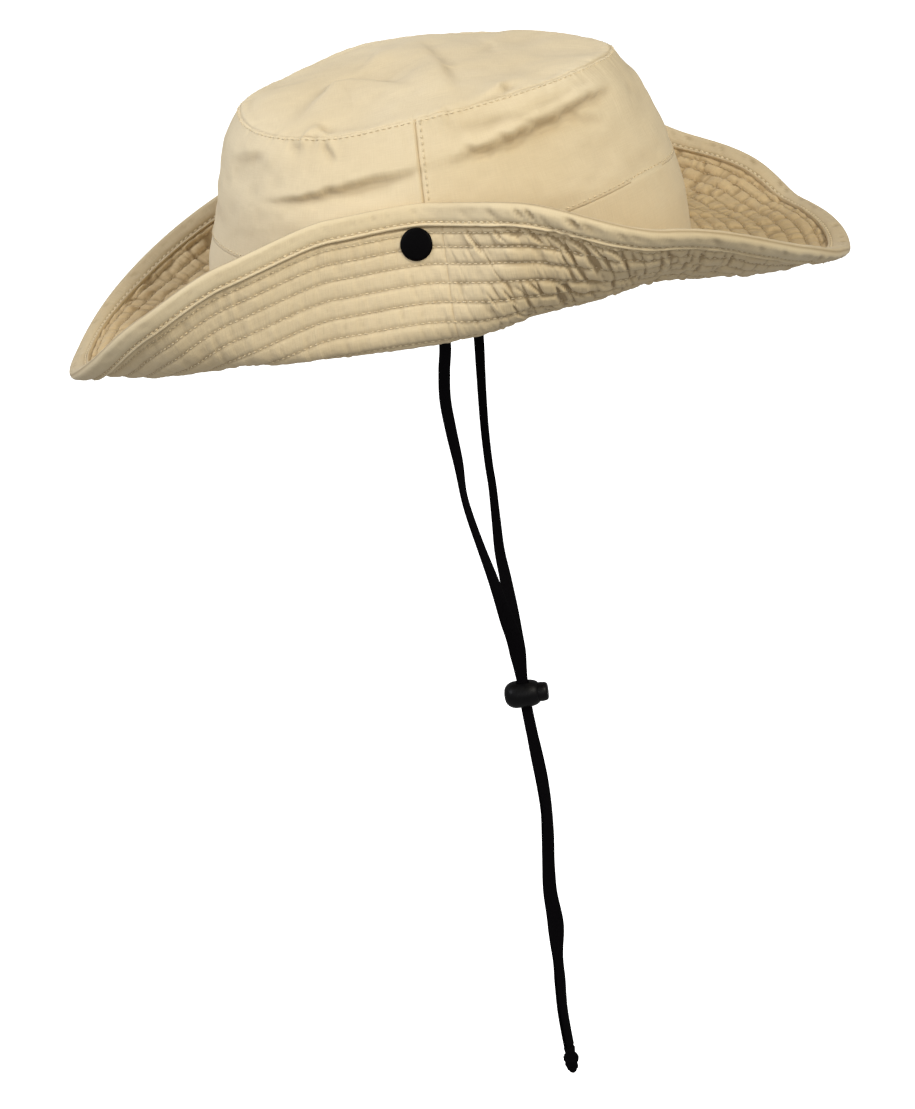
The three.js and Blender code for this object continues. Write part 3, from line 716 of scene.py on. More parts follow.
def make_wall(half):
    rows = np.linspace(0, 1, WALL_ROWS)
    angle = half_angles(crown_point, rows * 0.62 + 0.36, SIDE_SEAM_SETBACK, half, WALL_COLUMNS,
                        WALL_SEAM_OPENING)
    low = around_value(BAND_SEAM, "share", angle)
    share = low + (WALL_TOP - low) * rows
    even = crown_point(angle, share)
    normal = face_normals(even)
    fold = wall_fold(angle, share)
    from_hem = (share - low) * CROWN_HEIGHT
    fold += LAP * bell(from_hem, 0, 2.2 * MM)
    from_seam = np.abs(even[..., 1] - SIDE_SEAM_SETBACK)
    folded = -0.5 * MM * bell(from_seam, 0, 0.45 * MM)
    if half == "front":
        folded += 0.45 * MM * bell(from_seam, 1.2 * MM, 1.1 * MM)
    fold += folded
    outside = even + normal * fold[..., None]
    inside = outside - normal * CROWN_CLOTH
    cut = np.stack([angle * DEGREE_RUN, share * CROWN_HEIGHT], -1)
    # Painted shade: how deep each point lies sets how much darker the wall's creases are
    crease_shade = crease_shade_share(fold)
    piece = shell(f"crown_cloth_{half}", outside, inside, cut, crease_shades=(crease_shade, crease_shade))
    return piece, outside, angle, share


walls = {half: make_wall(half) for half in ("front", "back")}
print("crown wall faces:", {half: len(wall[0].data.polygons) for half, wall in walls.items()})

# %% [markdown]
# ## Crown band
#
# Under the stitched edge the crown is doubled: a smooth strip that meets the brim. It is stiffer
# than the wall, so it has almost no folds.

# %% Crown band
BAND_COLUMNS = 360
BAND_ROWS = 16
BAND_BOTTOM = 0.1 * MM / CROWN_HEIGHT
BAND_UNDERLAP = 1.2 * MM
BAND_SUNK = 0.04 * MM


def make_band():
    angle = np.linspace(0, 360, BAND_COLUMNS, endpoint=False)[:, None] * np.ones(BAND_ROWS)
    top = around_value(BAND_SEAM, "share", angle) + BAND_UNDERLAP / CROWN_HEIGHT
    share = BAND_BOTTOM + (top - BAND_BOTTOM) * np.linspace(0, 1, BAND_ROWS)
    even = crown_point(angle, share)
    normal = face_normals(even, whole_turn=True)
    u, v = angle * DEGREE_RUN, share * CROWN_HEIGHT
    wave = 0.04 * MM * lattice_noise(np.radians(angle) * 9, v / (12 * MM), 8)
    outside = even + normal * (wave - BAND_SUNK)[..., None]
    inside = outside - normal * CROWN_CLOTH
    cut = np.stack([u, v], -1)
    return shell("crown_band_cloth", outside, inside, cut, whole_turn=True)


band = make_band()
print("crown band faces:", len(band.data.polygons))

# %% [markdown]
# ## Top panel
#
# The top is one oval panel, a shallow dome. It could be made as a fan of rings, but a fan has a
# pole in the middle that shows in the light, so a square grid is bent into the oval instead. Long
# folds run across it from its seam on the left side, and the cloth sags a little between them.

# %% Top panel
TOP_CELLS = 150
TOP_REACH = 72 * MM
TOP_FOLDS = table_of(
    "line rise dip above below edge",
    ([(-58, -8), (-37, -1), (-16, 5), (18, 13), (58, 20), (66, 22)], 0.8, -4.2, 20, 16, 2.4),
    ([(46, -50), (21, -43), (4, -37), (2, -28), (10, -16), (25, -7), (46, 2)],
     -2.0, -2.2, 14, 20, 2.8),
    ([(66, 34), (58, 37), (41, 40)], 1.6, 2.0, 8, 8, 1.6),
    ([(66, -38), (54, -37), (44, -40)], 1.8, 1.6, 7, 6, 1.3),
    ([(-48, 22), (-24, 30), (2, 36)], 0.9, 1.2, 12, 10, 2.4),
    ([(-52, -24), (-28, -20), (-6, -28)], 0.9, 1.1, 10, 10, 2.4),
)


def square_to_disc(cells):
    """Even grid on a unit disc without a pole."""
    side = np.linspace(-1, 1, cells)
    a, b = np.meshgrid(side, side, indexing="ij")
    wide = np.abs(a) > np.abs(b)
    safe_a = np.where(np.abs(a) < 1e-9, 1e-9, a)
    safe_b = np.where(np.abs(b) < 1e-9, 1e-9, b)
    radius = np.where(wide, a, b)
    turn = np.where(wide, np.pi / 4 * b / safe_a, np.pi / 2 - np.pi / 4 * a / safe_b)
    return radius * np.cos(turn), radius * np.sin(turn)


def top_point(angle, share):
    edge = crown_point(angle, np.ones(np.shape(share)))
    height = edge[..., 2] * share**2 + CROWN_HEIGHT * (1 - share**2) + TOP_RISE * (1 - share**2.4)
    return np.stack([edge[..., 0] * share, edge[..., 1] * share, height], -1)


def make_top():
    x, y = square_to_disc(TOP_CELLS)
    angle = np.degrees(np.arctan2(x, -y))
    share = np.hypot(x, y)
    even = top_point(angle, share)
    normal = face_normals(even)
    u, v = even[..., 0], even[..., 1]
    inner = soft_step(1 - share, 0.0, 0.08)
    fold = creases(u, v, TOP_FOLDS, MM, MM)
    fold += waves(u, v, 11, 1.3, 24, 20)
    fold += waves(u, v, 12, 0.2, 8, 7)
    fold = fold * inner + seam_pucker(angle % 360, (1 - share) * TOP_REACH)
    outside = even + normal * fold[..., None]
    inside = outside - normal * CROWN_CLOTH
    cut = np.stack([u, v], -1)
    # Painted shade: how deep each point lies sets how much darker the top's creases are
    crease_shade = crease_shade_share(fold)
    return shell("top_panel_cloth", outside, inside, cut, crease_shades=(crease_shade, crease_shade))


top_panel = make_top()
print("top panel faces:", len(top_panel.data.polygons))

# %% [markdown]
# ## Quilted brim
#
# The brim is two layers of cloth over a stiffener, sewn together by rows of stitches that run
# around the hat. Every row pulls the two layers into a shallow groove and the cloth between the
# rows stays a little proud. Where the brim is bent the most, behind the left snap and along both
# turned-up sides, the layer on the inside of the bend has too much cloth: it crumples into short
# folds that run across the rows. The two halves meet in a seam at each side.

# %% Quilting
BRIM_COLUMNS = 550
BRIM_ROWS = 82
QUILT_ROWS = [distance * MM for distance in (12.1, 17.8, 24.6, 32.3, 40, 48, 56, 63)]
CLOTH_END = 1 - (BRIM_CLOTH / 2 + CLEARANCE + BINDING_CLOTH) / BRIM_TOTAL
RIM_DEGREE_RUN = 2.8 * MM
BRIM_SEAM_OPENING = 0.06 * MM
BACK_CROWD = 1.4

# Heights in the brim's two faces. Puffs and grooves are in millimetres, a crumple is the height of
# a fold of strength 1, and the limits say how far a face may sink in or stand out
QUILT_WIDTH = 0.85 * MM
GROOVE_DEPTH = 0.5
UNDER_PUFF, UPPER_PUFF = 0.28, 0.35
UNDER_CRUMPLE, UPPER_CRUMPLE = 1.7 * MM, 2.1 * MM
UNDER_LIMITS = (-1.3 * MM, 1.5 * MM)
UPPER_LIMITS = (-1.2 * MM, 1.8 * MM)
LONG_FOLD_TIMES = 1.6
THINNEST_CLOTH = 0.3 * MM

# How strongly the two faces of the brim are crumpled around the hat: 1 is a fold of about 2 mm
CRUMPLE = table_of(
    "angle under upper",
    (0, 0.2, 0.5), (30, 0.15, 0.7), (60, 0.12, 0.9), (88, 0.14, 0.9), (97, 0.4, 0.8),
    (108, 0.95, 0.8), (118, 1.15, 0.8), (130, 0.8, 0.7), (145, 0.75, 0.7), (180, 0.45, 0.6),
    (230, 0.7, 0.95), (250, 0.9, 1.0), (272, 0.3, 0.9), (310, 0.2, 1.0), (335, 0.2, 0.8),
)

# Long folds of the underside behind the left snap, by angle and distance from the rim in millimetres
UNDER_FOLDS = table_of(
    "line depth width",
    ([(99.2, 10), (100.6, 15), (102.2, 22)], 0.8, 1.0),
    ([(104.2, 10), (105.6, 14), (107, 17)], 0.7, 0.9),
    ([(109.6, 8), (111.4, 14), (112.8, 17)], 0.9, 1.1),
    ([(112.6, 10), (115.6, 16), (117.5, 24)], 0.9, 1.2),
    ([(115.2, 9), (118.6, 15), (120.4, 24), (120.8, 30)], 1.2, 1.3),
    ([(118.4, 10), (121.4, 17), (123, 26)], 0.9, 1.1),
    ([(121, 9), (124, 16), (126, 25)], 0.9, 1.1),
    ([(112.6, 31), (117, 38), (121.5, 47)], 0.8, 1.2),
    ([(108.5, 32), (110.5, 37), (112, 41)], 0.7, 1.0),
    ([(104, 34), (105.6, 40), (107, 44)], 0.6, 0.9),
    ([(101, 35), (102.4, 40), (103.4, 45)], 0.5, 0.9),
    ([(119.6, 38), (121.6, 43), (122.4, 48)], 0.6, 1.1),
    ([(105.6, 46), (108, 52), (110, 57)], 0.5, 1.0),
    ([(111, 46), (113.6, 51), (116, 56)], 0.4, 1.0),
    ([(131, 12), (133, 20), (134, 28)], 0.8, 1.3),
    ([(137, 12), (138.6, 20), (139, 30)], 0.9, 1.4),
    ([(143, 12), (144.6, 20), (145, 28)], 0.8, 1.3),
)


def quilt_groove(from_rim):
    """Depth of the grooves that the rows of stitches pull in, as a share."""
    return sum(bell(from_rim, row, QUILT_WIDTH) for row in QUILT_ROWS)


def puff(from_rim):
    """1 in the middle of each strip between two rows and 0 on the rows."""
    knots = np.array([BINDING_WIDTH] + QUILT_ROWS + [BRIM_TOTAL])
    strip = np.clip(np.searchsorted(knots, from_rim) - 1, 0, len(knots) - 2)
    within = np.clip((from_rim - knots[strip]) / (knots[strip + 1] - knots[strip]), 0, 1)
    return np.sin(np.pi * within) ** 0.7, strip


def crumple(angle, from_rim, seed, slant):
    """Short folds across the strips, each strip with its own."""
    between, strip = puff(from_rim)
    run = angle * RIM_DEGREE_RUN + slant * from_rim
    shift = strip * 7.37 + seed
    coarse = lattice_noise(run / (7.5 * MM) + shift, strip * 1.0, seed)
    fine = lattice_noise(run / (4.4 * MM) + shift * 3, strip * 1.0, seed + 1)
    through = lattice_noise(run / (8 * MM), from_rim / (22 * MM), seed + 2)
    narrow = bell(coarse, 0, 0.24) + 0.5 * bell(fine, 0, 0.26)
    crossing = bell(through, 0, 0.14)
    puffed = between * (0.55 + 0.3 * fine - 0.75 * narrow)
    return puffed + 0.4 * through * np.maximum(between, 0.35) - 0.6 * crossing


def make_brim(half):
    share_line = np.linspace(0, CLOTH_END, BRIM_ROWS)
    angle = half_angles(brim_point, share_line, BRIM_SEAM_SETBACK, half, BRIM_COLUMNS,
                        BRIM_SEAM_OPENING, BACK_CROWD if half == "back" else 0)
    share = share_line * np.ones_like(angle)
    middle = brim_point(angle, share)
    normal = face_normals(middle)
    from_rim = (1 - share) * BRIM_TOTAL
    free = soft_step(from_rim, BINDING_WIDTH - 1 * MM, BINDING_WIDTH + 1.5 * MM)
    free = free * soft_step(share, 0.02, 0.08)
    groove = quilt_groove(from_rim)
    between, _ = puff(from_rim)
    under_strength = around_value(CRUMPLE, "under", angle)
    upper_strength = around_value(CRUMPLE, "upper", angle)
    under = (UNDER_PUFF * between - GROOVE_DEPTH * groove) * MM
    calmer = 1 - 0.7 * soft_step(from_rim, 50 * MM, 62 * MM)
    under += UNDER_CRUMPLE * under_strength * crumple(angle, from_rim, 21, -0.5) * calmer
    ripple = lattice_noise(angle * RIM_DEGREE_RUN / (2.9 * MM), from_rim / (16 * MM), 31)
    under += (0.13 + 0.16 * around_bell(angle, 45, 32)) * MM * ripple * (0.4 + between)
    for row in UNDER_FOLDS:
        line = [(a * RIM_DEGREE_RUN, d * MM) for a, d in row["line"]]
        side, along = beside_line(angle * RIM_DEGREE_RUN, from_rim, line)
        ends = fading_ends(along, 0.3)
        width = row["width"] * MM
        ridge_and_ditch = 0.6 * bell(side, 1.3 * width, width) - bell(side, 0, 0.65 * width)
        under += ends * row["depth"] * LONG_FOLD_TIMES * MM * ridge_and_ditch
    upper = (UPPER_PUFF * between - GROOVE_DEPTH * groove) * MM
    upper += UPPER_CRUMPLE * upper_strength * crumple(angle, from_rim, 25, 0.15)
    seam = np.abs(middle[..., 1] - BRIM_SEAM_SETBACK)
    pinch = -0.16 * MM * bell(seam, 0, 0.4 * MM)
    wave = 0.9 * MM * free * lattice_noise(np.radians(angle) * 5, share * 2.2, 41)
    beside_snaps = 1 - around_bell(angle, 88.5, 9) - around_bell(angle, 271.5, 9)
    wave = wave * np.clip(beside_snaps, 0, 1)
    beside_binding = 0.55 * MM * bell(from_rim, BINDING_WIDTH + 0.4 * MM, 0.7 * MM)
    at_seam = 1 - bell(seam, 0, 1.2 * MM) * 0.6
    under = free * np.clip(under, *UNDER_LIMITS) * at_seam - beside_binding
    upper = free * np.clip(upper, *UPPER_LIMITS) * at_seam - 0.6 * beside_binding
    upper += np.maximum(0, -BRIM_CLOTH + THINNEST_CLOTH - under - upper)
    lower_face = middle + normal * (BRIM_CLOTH / 2 + under + pinch + wave)[..., None]
    upper_face = middle - normal * (BRIM_CLOTH / 2 + upper + pinch - wave)[..., None]
    cut = np.stack([angle * RIM_DEGREE_RUN, share * BRIM_TOTAL], -1)
    # Painted shade: darker creases on both faces, stronger where a face is more crumpled
    crease_shades = (crease_shade_share(under + pinch) * (0.6 + 0.7 * under_strength),
               crease_shade_share(upper + pinch) * (0.6 + 0.5 * upper_strength))
    piece = shell(f"brim_cloth_{half}", lower_face, upper_face, cut, crease_shades=crease_shades)
    return piece, lower_face, upper_face, angle, from_rim


brims = {half: make_brim(half) for half in ("front", "back")}
print("brim faces:", {half: len(brim[0].data.polygons) for half, brim in brims.items()})

# %% [markdown]
# ## Binding
#
# A strip of the same cloth is folded over the rim and sewn through. Its section is drawn once:
# flat on the brim's two faces, round over the rim, dipped under the stitches, and thicker at its
# own turned-in edge, which stands out as a thin ridge. The section then runs around the hat on the
# brim's own surface, so it follows every bend. Where the brim turns sharply the strip is too long
# on the inside of the bend and falls into small slanted wrinkles.

# %% Binding
BINDING_COLUMNS = 820
BINDING_STITCH = 7.7 * MM

# Half of the section, from the turned-in edge to the rim: distance from the rim, height over the
# brim's middle, in millimetres
BINDING_SECTION = [
    (9.4, 0.6), (9.45, 1.7), (9.3, 2.35), (9.0, 2.72), (8.65, 2.74), (8.3, 2.45), (8.0, 2.0),
    (7.7, 1.8), (7.4, 1.92), (6.8, 2.3), (5.6, 2.5), (4.4, 2.48), (3.3, 2.38), (2.3, 2.3),
]
BINDING_BEND = (75, 60, 45, 30, 15, 0)
WRINKLE_HEIGHT, SOFT_HEIGHT = 0.8, 0.25
# UPPER_SHADE is painted shade: how much darker the binding's upper face is
UPPER_SHADE = 0.45
RIM_INSIDE = 2.3 * MM
WRINKLES = table_of(
    "angle strength",
    (0, 0.35), (60, 0.2), (95, 0.3), (108, 0.9), (118, 1.5), (127, 0.5), (150, 0.55), (163, 0.9),
    (180, 0.5), (245, 0.8), (275, 0.3), (320, 0.35),
)


def binding_profile():
    """The whole outer section: distance from the rim and height over the middle, in metres."""
    radius = BINDING_SECTION[-1][1]
    bend = [(radius - radius * math.cos(math.radians(turn)), radius * math.sin(math.radians(turn)))
            for turn in BINDING_BEND]
    half = [*BINDING_SECTION, *bend]
    other = [(distance, -height) for distance, height in reversed(half[:-1])]
    return np.array(half + other) * MM


def make_binding():
    profile = binding_profile()
    angle = np.linspace(0, 360, BINDING_COLUMNS, endpoint=False)[:, None]
    inward = np.minimum(profile[:, 0], BINDING_WIDTH)
    share = 1 - inward / BRIM_TOTAL
    middle = brim_point(angle, np.broadcast_to(share, (BINDING_COLUMNS, len(share))))
    normal = -face_normals(brim_point(angle, np.linspace(0.8, 1, 12)), whole_turn=True)
    place = np.clip((share - 0.8) / 0.2 * 11, 0, 11)
    low = np.minimum(np.floor(place).astype(int), 10)
    mix = (place - low)[None, :, None]
    normal = normal[:, low] * (1 - mix) + normal[:, low + 1] * mix
    height = profile[:, 1][None, :]
    run = angle * RIM_DEGREE_RUN
    strength = around_value(WRINKLES, "strength", angle)
    slanted = run - 0.9 * profile[:, 0][None, :] * np.sign(-height)
    wrinkle = lattice_noise(slanted / (4.4 * MM), profile[:, 0][None, :] / (14 * MM), 51)
    wrinkle = 1 - 2.2 * np.sqrt(wrinkle**2 + 0.01)
    soft = lattice_noise(run / (17 * MM), profile[:, 0][None, :] / (6 * MM), 52)
    held = soft_step(profile[:, 0], 0, 3 * MM) * (1 - 0.75 * bell(profile[:, 0], 8 * MM, 1.2 * MM))
    out = np.sign(height) * held[None, :] * (WRINKLE_HEIGHT * strength * wrinkle + SOFT_HEIGHT * soft) * MM
    outside = middle + normal * (height + out)[..., None]
    inner = np.sign(height) * np.minimum(np.abs(height), BRIM_CLOTH / 2 + CLEARANCE)
    past = RIM_INSIDE - profile[:, 0]
    back = np.where(profile[:, 0] < RIM_INSIDE, RIM_INSIDE - 0.55 * past, 0)
    inner_share = 1 - np.minimum(np.maximum(inward, back), BINDING_WIDTH) / BRIM_TOTAL
    inner_middle = brim_point(angle, np.broadcast_to(inner_share, (BINDING_COLUMNS, len(share))))
    squeeze = np.where(np.abs(height) < 1.2 * MM, 0.8, 1.0)
    inside = inner_middle + normal * (inner * squeeze)[..., None]
    way = np.cumsum(np.abs(np.gradient(profile[:, 1])) + np.abs(np.gradient(profile[:, 0])))
    cut = np.stack(np.broadcast_arrays(run, way[None, :]), -1)
    # Painted shade: darker creases, and the binding's upper face darker all along by UPPER_SHADE
    crease_shade = crease_shade_share((height + out) * np.sign(height), across=2, along=2)
    crease_shade = (crease_shade + UPPER_SHADE * soft_step(height, 0.5 * MM, 2 * MM))[:, ::-1]
    piece = shell("binding_cloth", outside[:, ::-1], inside[:, ::-1], cut[:, ::-1], whole_turn=True,
                  crease_shades=(crease_shade, crease_shade))
    return piece, outside, profile


binding, binding_face, binding_line = make_binding()
print("binding faces:", len(binding.data.polygons))

# %% [markdown]
# ## Stitches
#
# Every row of stitches is the same small loop of thread, repeated at the same pitch along a line
# on the cloth. Geometry Nodes are made for that: the line becomes a curve, the curve is cut into
# equal steps, and one short thread is placed on each step, turned along the line and laid flat on
# the cloth. Only the pitch, length and thickness have to be named. The result is turned into a
# plain mesh, so that the stitches go wherever the hat goes.

# %% Stitch tree
THREAD_SIDES = 6
THREAD_RINGS = 3
STITCH_SEED = 7


def new_node(tree, kind, values=None, **settings):
    """A node with its settings, and with constant values on its input sockets."""
    node = tree.nodes.new(kind)
    for name, value in settings.items():
        setattr(node, name, value)
    for socket, value in (values or {}).items():
        node.inputs[socket].default_value = value
    return node


def stitch_tree():
    tree = bpy.data.node_groups.new("stitch_row", "GeometryNodeTree")
    face = tree.interface
    face.new_socket("Geometry", in_out="INPUT", socket_type="NodeSocketGeometry")
    for name, value in (("Pitch", 0.0028), ("Length", 0.0022), ("Thickness", 0.0005), ("Wander", 6.0)):
        socket = face.new_socket(name, in_out="INPUT", socket_type="NodeSocketFloat")
        socket.default_value = value
    face.new_socket("Seed", in_out="INPUT", socket_type="NodeSocketInt").default_value = STITCH_SEED
    face.new_socket("Thread", in_out="INPUT", socket_type="NodeSocketMaterial")
    face.new_socket("Geometry", in_out="OUTPUT", socket_type="NodeSocketGeometry")
    node = lambda kind, values=None, **settings: new_node(tree, kind, values, **settings)
    entry = node("NodeGroupInput")
    line = node("GeometryNodeMeshToCurve")
    steps = node("GeometryNodeResampleCurve", mode="LENGTH")
    thread = node("GeometryNodeMeshUVSphere",
                  {"Segments": THREAD_SIDES, "Rings": THREAD_RINGS, "Radius": 0.5})
    place = node("GeometryNodeInstanceOnPoints")
    tangent = node("GeometryNodeInputTangent")
    along = node("FunctionNodeAlignRotationToVector", axis="X")
    outward = node("GeometryNodeInputNamedAttribute", {"Name": "outward"}, data_type="FLOAT_VECTOR")
    flat = node("FunctionNodeAlignRotationToVector", axis="Z", pivot_axis="X")
    wander = node("FunctionNodeRandomValue", data_type="FLOAT_VECTOR")
    degrees = node("ShaderNodeVectorMath", {"Scale": math.pi / 180}, operation="SCALE")
    spread = node("ShaderNodeCombineXYZ")
    opposite = node("ShaderNodeVectorMath", {"Scale": -1.0}, operation="SCALE")
    turned = node("FunctionNodeRotateRotation", rotation_space="LOCAL")
    euler = node("FunctionNodeEulerToRotation")
    size = node("ShaderNodeCombineXYZ")
    real = node("GeometryNodeRealizeInstances")
    smooth = node("GeometryNodeSetShadeSmooth")
    finish = node("GeometryNodeSetMaterial")
    leave = node("NodeGroupOutput")
    for source, output, target, socket in (
        (entry, "Geometry", line, "Mesh"), (line, "Curve", steps, "Curve"),
        (entry, "Pitch", steps, "Length"), (steps, "Curve", place, "Points"),
        (thread, "Mesh", place, "Instance"), (tangent, "Tangent", along, "Vector"),
        (along, "Rotation", flat, "Rotation"), (outward, "Attribute", flat, "Vector"),
        (entry, "Wander", spread, "Z"), (spread, "Vector", degrees, 0),
        (degrees, "Vector", wander, "Max"), (degrees, "Vector", opposite, 0),
        (opposite, "Vector", wander, "Min"), (entry, "Seed", wander, "Seed"),
        (wander, "Value", euler, "Euler"), (flat, "Rotation", turned, "Rotation"),
        (euler, "Rotation", turned, "Rotate By"), (turned, "Rotation", place, "Rotation"),
        (entry, "Length", size, "X"), (entry, "Thickness", size, "Y"),
        (entry, "Thickness", size, "Z"), (size, "Vector", place, "Scale"),
        (place, "Instances", real, "Geometry"), (real, "Geometry", smooth, 0),
        (smooth, 0, finish, "Geometry"), (entry, "Thread", finish, "Material"),
        (finish, "Geometry", leave, "Geometry"),
    ):
        tree.links.new(source.outputs[output], target.inputs[socket])
    return tree


STITCH_TREE = stitch_tree()


def stitched_piece(name, lines, material, **sizes):
    """Stitches along lines. Each line is points and the directions that point out of the cloth."""
    points, edges, outward = [], [], []
    for path, out in lines:
        first = sum(len(part) for part in points)
        points.append(path)
        outward.append(out)
        edges += [(first + k, first + k + 1) for k in range(len(path) - 1)]
    mesh = bpy.data.meshes.new(name + "_lines")
    mesh.from_pydata(np.concatenate(points).tolist(), edges, [])
    attribute = mesh.attributes.new("outward", "FLOAT_VECTOR", "POINT")
    attribute.data.foreach_set("vector", np.concatenate(outward).ravel())
    guide = placed(name + "_lines", mesh)
    modifier = guide.modifiers.new("stitches", "NODES")
    modifier.node_group = STITCH_TREE
    sockets = {item.name: item.identifier for item in STITCH_TREE.interface.items_tree
               if item.item_type == "SOCKET" and item.in_out == "INPUT"}
    modifier[sockets["Thread"]] = material
    for size, value in sizes.items():
        modifier[sockets[size]] = value
    graph = bpy.context.evaluated_depsgraph_get()
    result = bpy.data.meshes.new_from_object(guide.evaluated_get(graph))
    result.name = name
    bpy.data.objects.remove(guide)
    print(name, "has", len(result.polygons), "faces")
    return placed(name, result)


# %% [markdown]
# ## Where the stitches run
#
# The lines are read from the cloth itself, folds and all, so a stitch always lies in its groove:
# eight rows on both faces of the brim, one row on both faces of the binding, one over the band, one
# along the top seam, and one behind each side seam.

# %% Lines for the stitches
STITCH_LIFT = 0.14 * MM
BAND_STITCH = 1.5 * MM
TOP_STITCH = 1.1 * MM
SIDE_STITCH = 2.1 * MM


def line_on(grid, normal, row):
    """A line across a grid of points, at a whole or broken row number for each column."""
    columns = np.arange(grid.shape[0])
    row = np.broadcast_to(np.clip(row, 0, grid.shape[1] - 1.001), columns.shape)
    low = np.floor(row).astype(int)
    mix = (row - low)[:, None]
    path = grid[columns, low] * (1 - mix) + grid[columns, low + 1] * mix
    out = normal[columns, low] * (1 - mix) + normal[columns, low + 1] * mix
    return path + out * STITCH_LIFT, out


def closed_line(path, out):
    return np.concatenate([path, path[:1]]), np.concatenate([out, out[:1]])


def rows_at(values, target):
    """For each column, the broken row number where its values cross a target."""
    rising = values[:, -1].mean() > values[:, 0].mean()
    found = np.array([np.interp(target, line if rising else line[::-1], np.arange(len(line)))
                      for line in values])
    return found if rising else values.shape[1] - 1 - found


def brim_stitch_lines(face_index, sign):
    lines = []
    for _, lower, upper, _, from_rim in brims.values():
        grid = (lower, upper)[face_index]
        normal = face_normals(grid) * sign
        for row in QUILT_ROWS:
            lines.append(line_on(grid, normal, rows_at(from_rim, row)))
    return lines


def wall_stitch_lines():
    lines = []
    for half, (_, grid, angle, share) in walls.items():
        normal = face_normals(grid)
        low = around_value(BAND_SEAM, "share", angle)
        lines.append(line_on(grid, normal, rows_at(share - low, BAND_STITCH / CROWN_HEIGHT)))
        lines.append(line_on(grid, normal, rows_at(share - WALL_TOP, -TOP_STITCH / CROWN_HEIGHT)))
        if half == "back":
            from_seam = np.abs(grid[..., 1] - SIDE_SEAM_SETBACK)
            half_way = grid.shape[0] // 2
            for columns in (slice(0, half_way), slice(None, half_way, -1)):
                flipped = np.swapaxes(grid[columns], 0, 1)
                turned = np.swapaxes(normal[columns], 0, 1)
                row = rows_at(np.swapaxes(from_seam[columns], 0, 1), SIDE_STITCH)
                path, out = line_on(flipped, turned, row)
                lines.append((path[2:-2], out[2:-2]))
    return lines


def binding_stitch_lines():
    normal = face_normals(binding_face, whole_turn=True)
    lines = []
    row = int(np.argmin(np.abs(binding_line[:, 0] - BINDING_STITCH) + (binding_line[:, 1] < 0)))
    for place in (row, len(binding_line) - 1 - row):
        outward = binding_face[:, place] - brim_middle_near_rim()
        sign = np.sign(np.mean(np.sum(normal[:, place] * outward, -1)))
        path = binding_face[:, place] + sign * normal[:, place] * STITCH_LIFT
        lines.append(closed_line(path, sign * normal[:, place]))
    return lines


def brim_middle_near_rim():
    angle = np.linspace(0, 360, BINDING_COLUMNS, endpoint=False)
    return brim_point(angle, np.full(BINDING_COLUMNS, 1 - BINDING_STITCH / BRIM_TOTAL))


# %% [markdown]
# ## Cloth material
#
# The cloth is a thin plain weave of cotton and nylon, khaki, with a dry surface that shines only
# a little at a grazing angle. Three things make it look like cloth and not like paint: thread that
# varies along its length, a weave that breaks up the light, and a colour that drifts slightly
# from place to place. The weave is drawn on the cut, in metres. Shade is painted into the
# colour too: hollows between folds are a browner khaki, by the depth that each shell keeps for its
# points, in place of the shadow that falls in them. Numbers that are the same all over are set on
# the shader itself.

# %% Cloth material
def srgb(red, green, blue):
    """A colour as a painter reads it from a screen, from 0 to 255, as the shader wants it."""
    linear = [(c / 255 / 12.92) if c / 255 <= 0.04045 else ((c / 255 + 0.055) / 1.055) ** 2.4
              for c in (red, green, blue)]
    return (*linear, 1.0)


def new_material(name, values):
    """A material, its nodes, its shader with the values set, and the places a pattern can use."""
    material = bpy.data.materials.new(name)
    material.use_nodes = True
    tree = material.node_tree
    tree.nodes.clear()
    shader = new_node(tree, "ShaderNodeBsdfPrincipled", values)
    output = new_node(tree, "ShaderNodeOutputMaterial")
    tree.links.new(shader.outputs["BSDF"], output.inputs["Surface"])
    return material, tree, shader.inputs, new_node(tree, "ShaderNodeTexCoord").outputs


def mixed_colour(tree, factor, first, second):
    mix = new_node(tree, "ShaderNodeMix", data_type="RGBA")
    tree.links.new(factor, mix.inputs[0])
    for socket, value in ((mix.inputs[6], first), (mix.inputs[7], second)):
        if isinstance(value, bpy.types.NodeSocket):
            tree.links.new(value, socket)
        else:
            socket.default_value = value
    return mix.outputs[2]


def noise_on(tree, vector, scale, stretch=(1, 1, 1), detail=2.0):
    mapping = new_node(tree, "ShaderNodeMapping", {"Scale": stretch})
    noise = new_node(tree, "ShaderNodeTexNoise", {"Scale": scale, "Detail": detail})
    tree.links.new(vector, mapping.inputs["Vector"])
    tree.links.new(mapping.outputs["Vector"], noise.inputs["Vector"])
    return noise.outputs["Fac"]


def ranged(tree, value, low, high, to_low=0.0, to_high=1.0):
    node = new_node(tree, "ShaderNodeMapRange", {
        "From Min": low, "From Max": high, "To Min": to_low, "To Max": to_high,
    })
    tree.links.new(value, node.inputs["Value"])
    return node.outputs["Result"]


def relief(tree, height, strength, distance, under=None):
    """Relief that the light shows, over an earlier one where there is one."""
    bump = new_node(tree, "ShaderNodeBump", {"Strength": strength, "Distance": distance})
    tree.links.new(height, bump.inputs["Height"])
    if under is not None:
        tree.links.new(under, bump.inputs["Normal"])
    return bump.outputs["Normal"]


# Painted shade: the browner khaki that the creases are darkened towards, for their shadow
CREASE_SHADE_COLOUR = srgb(126, 98, 60)


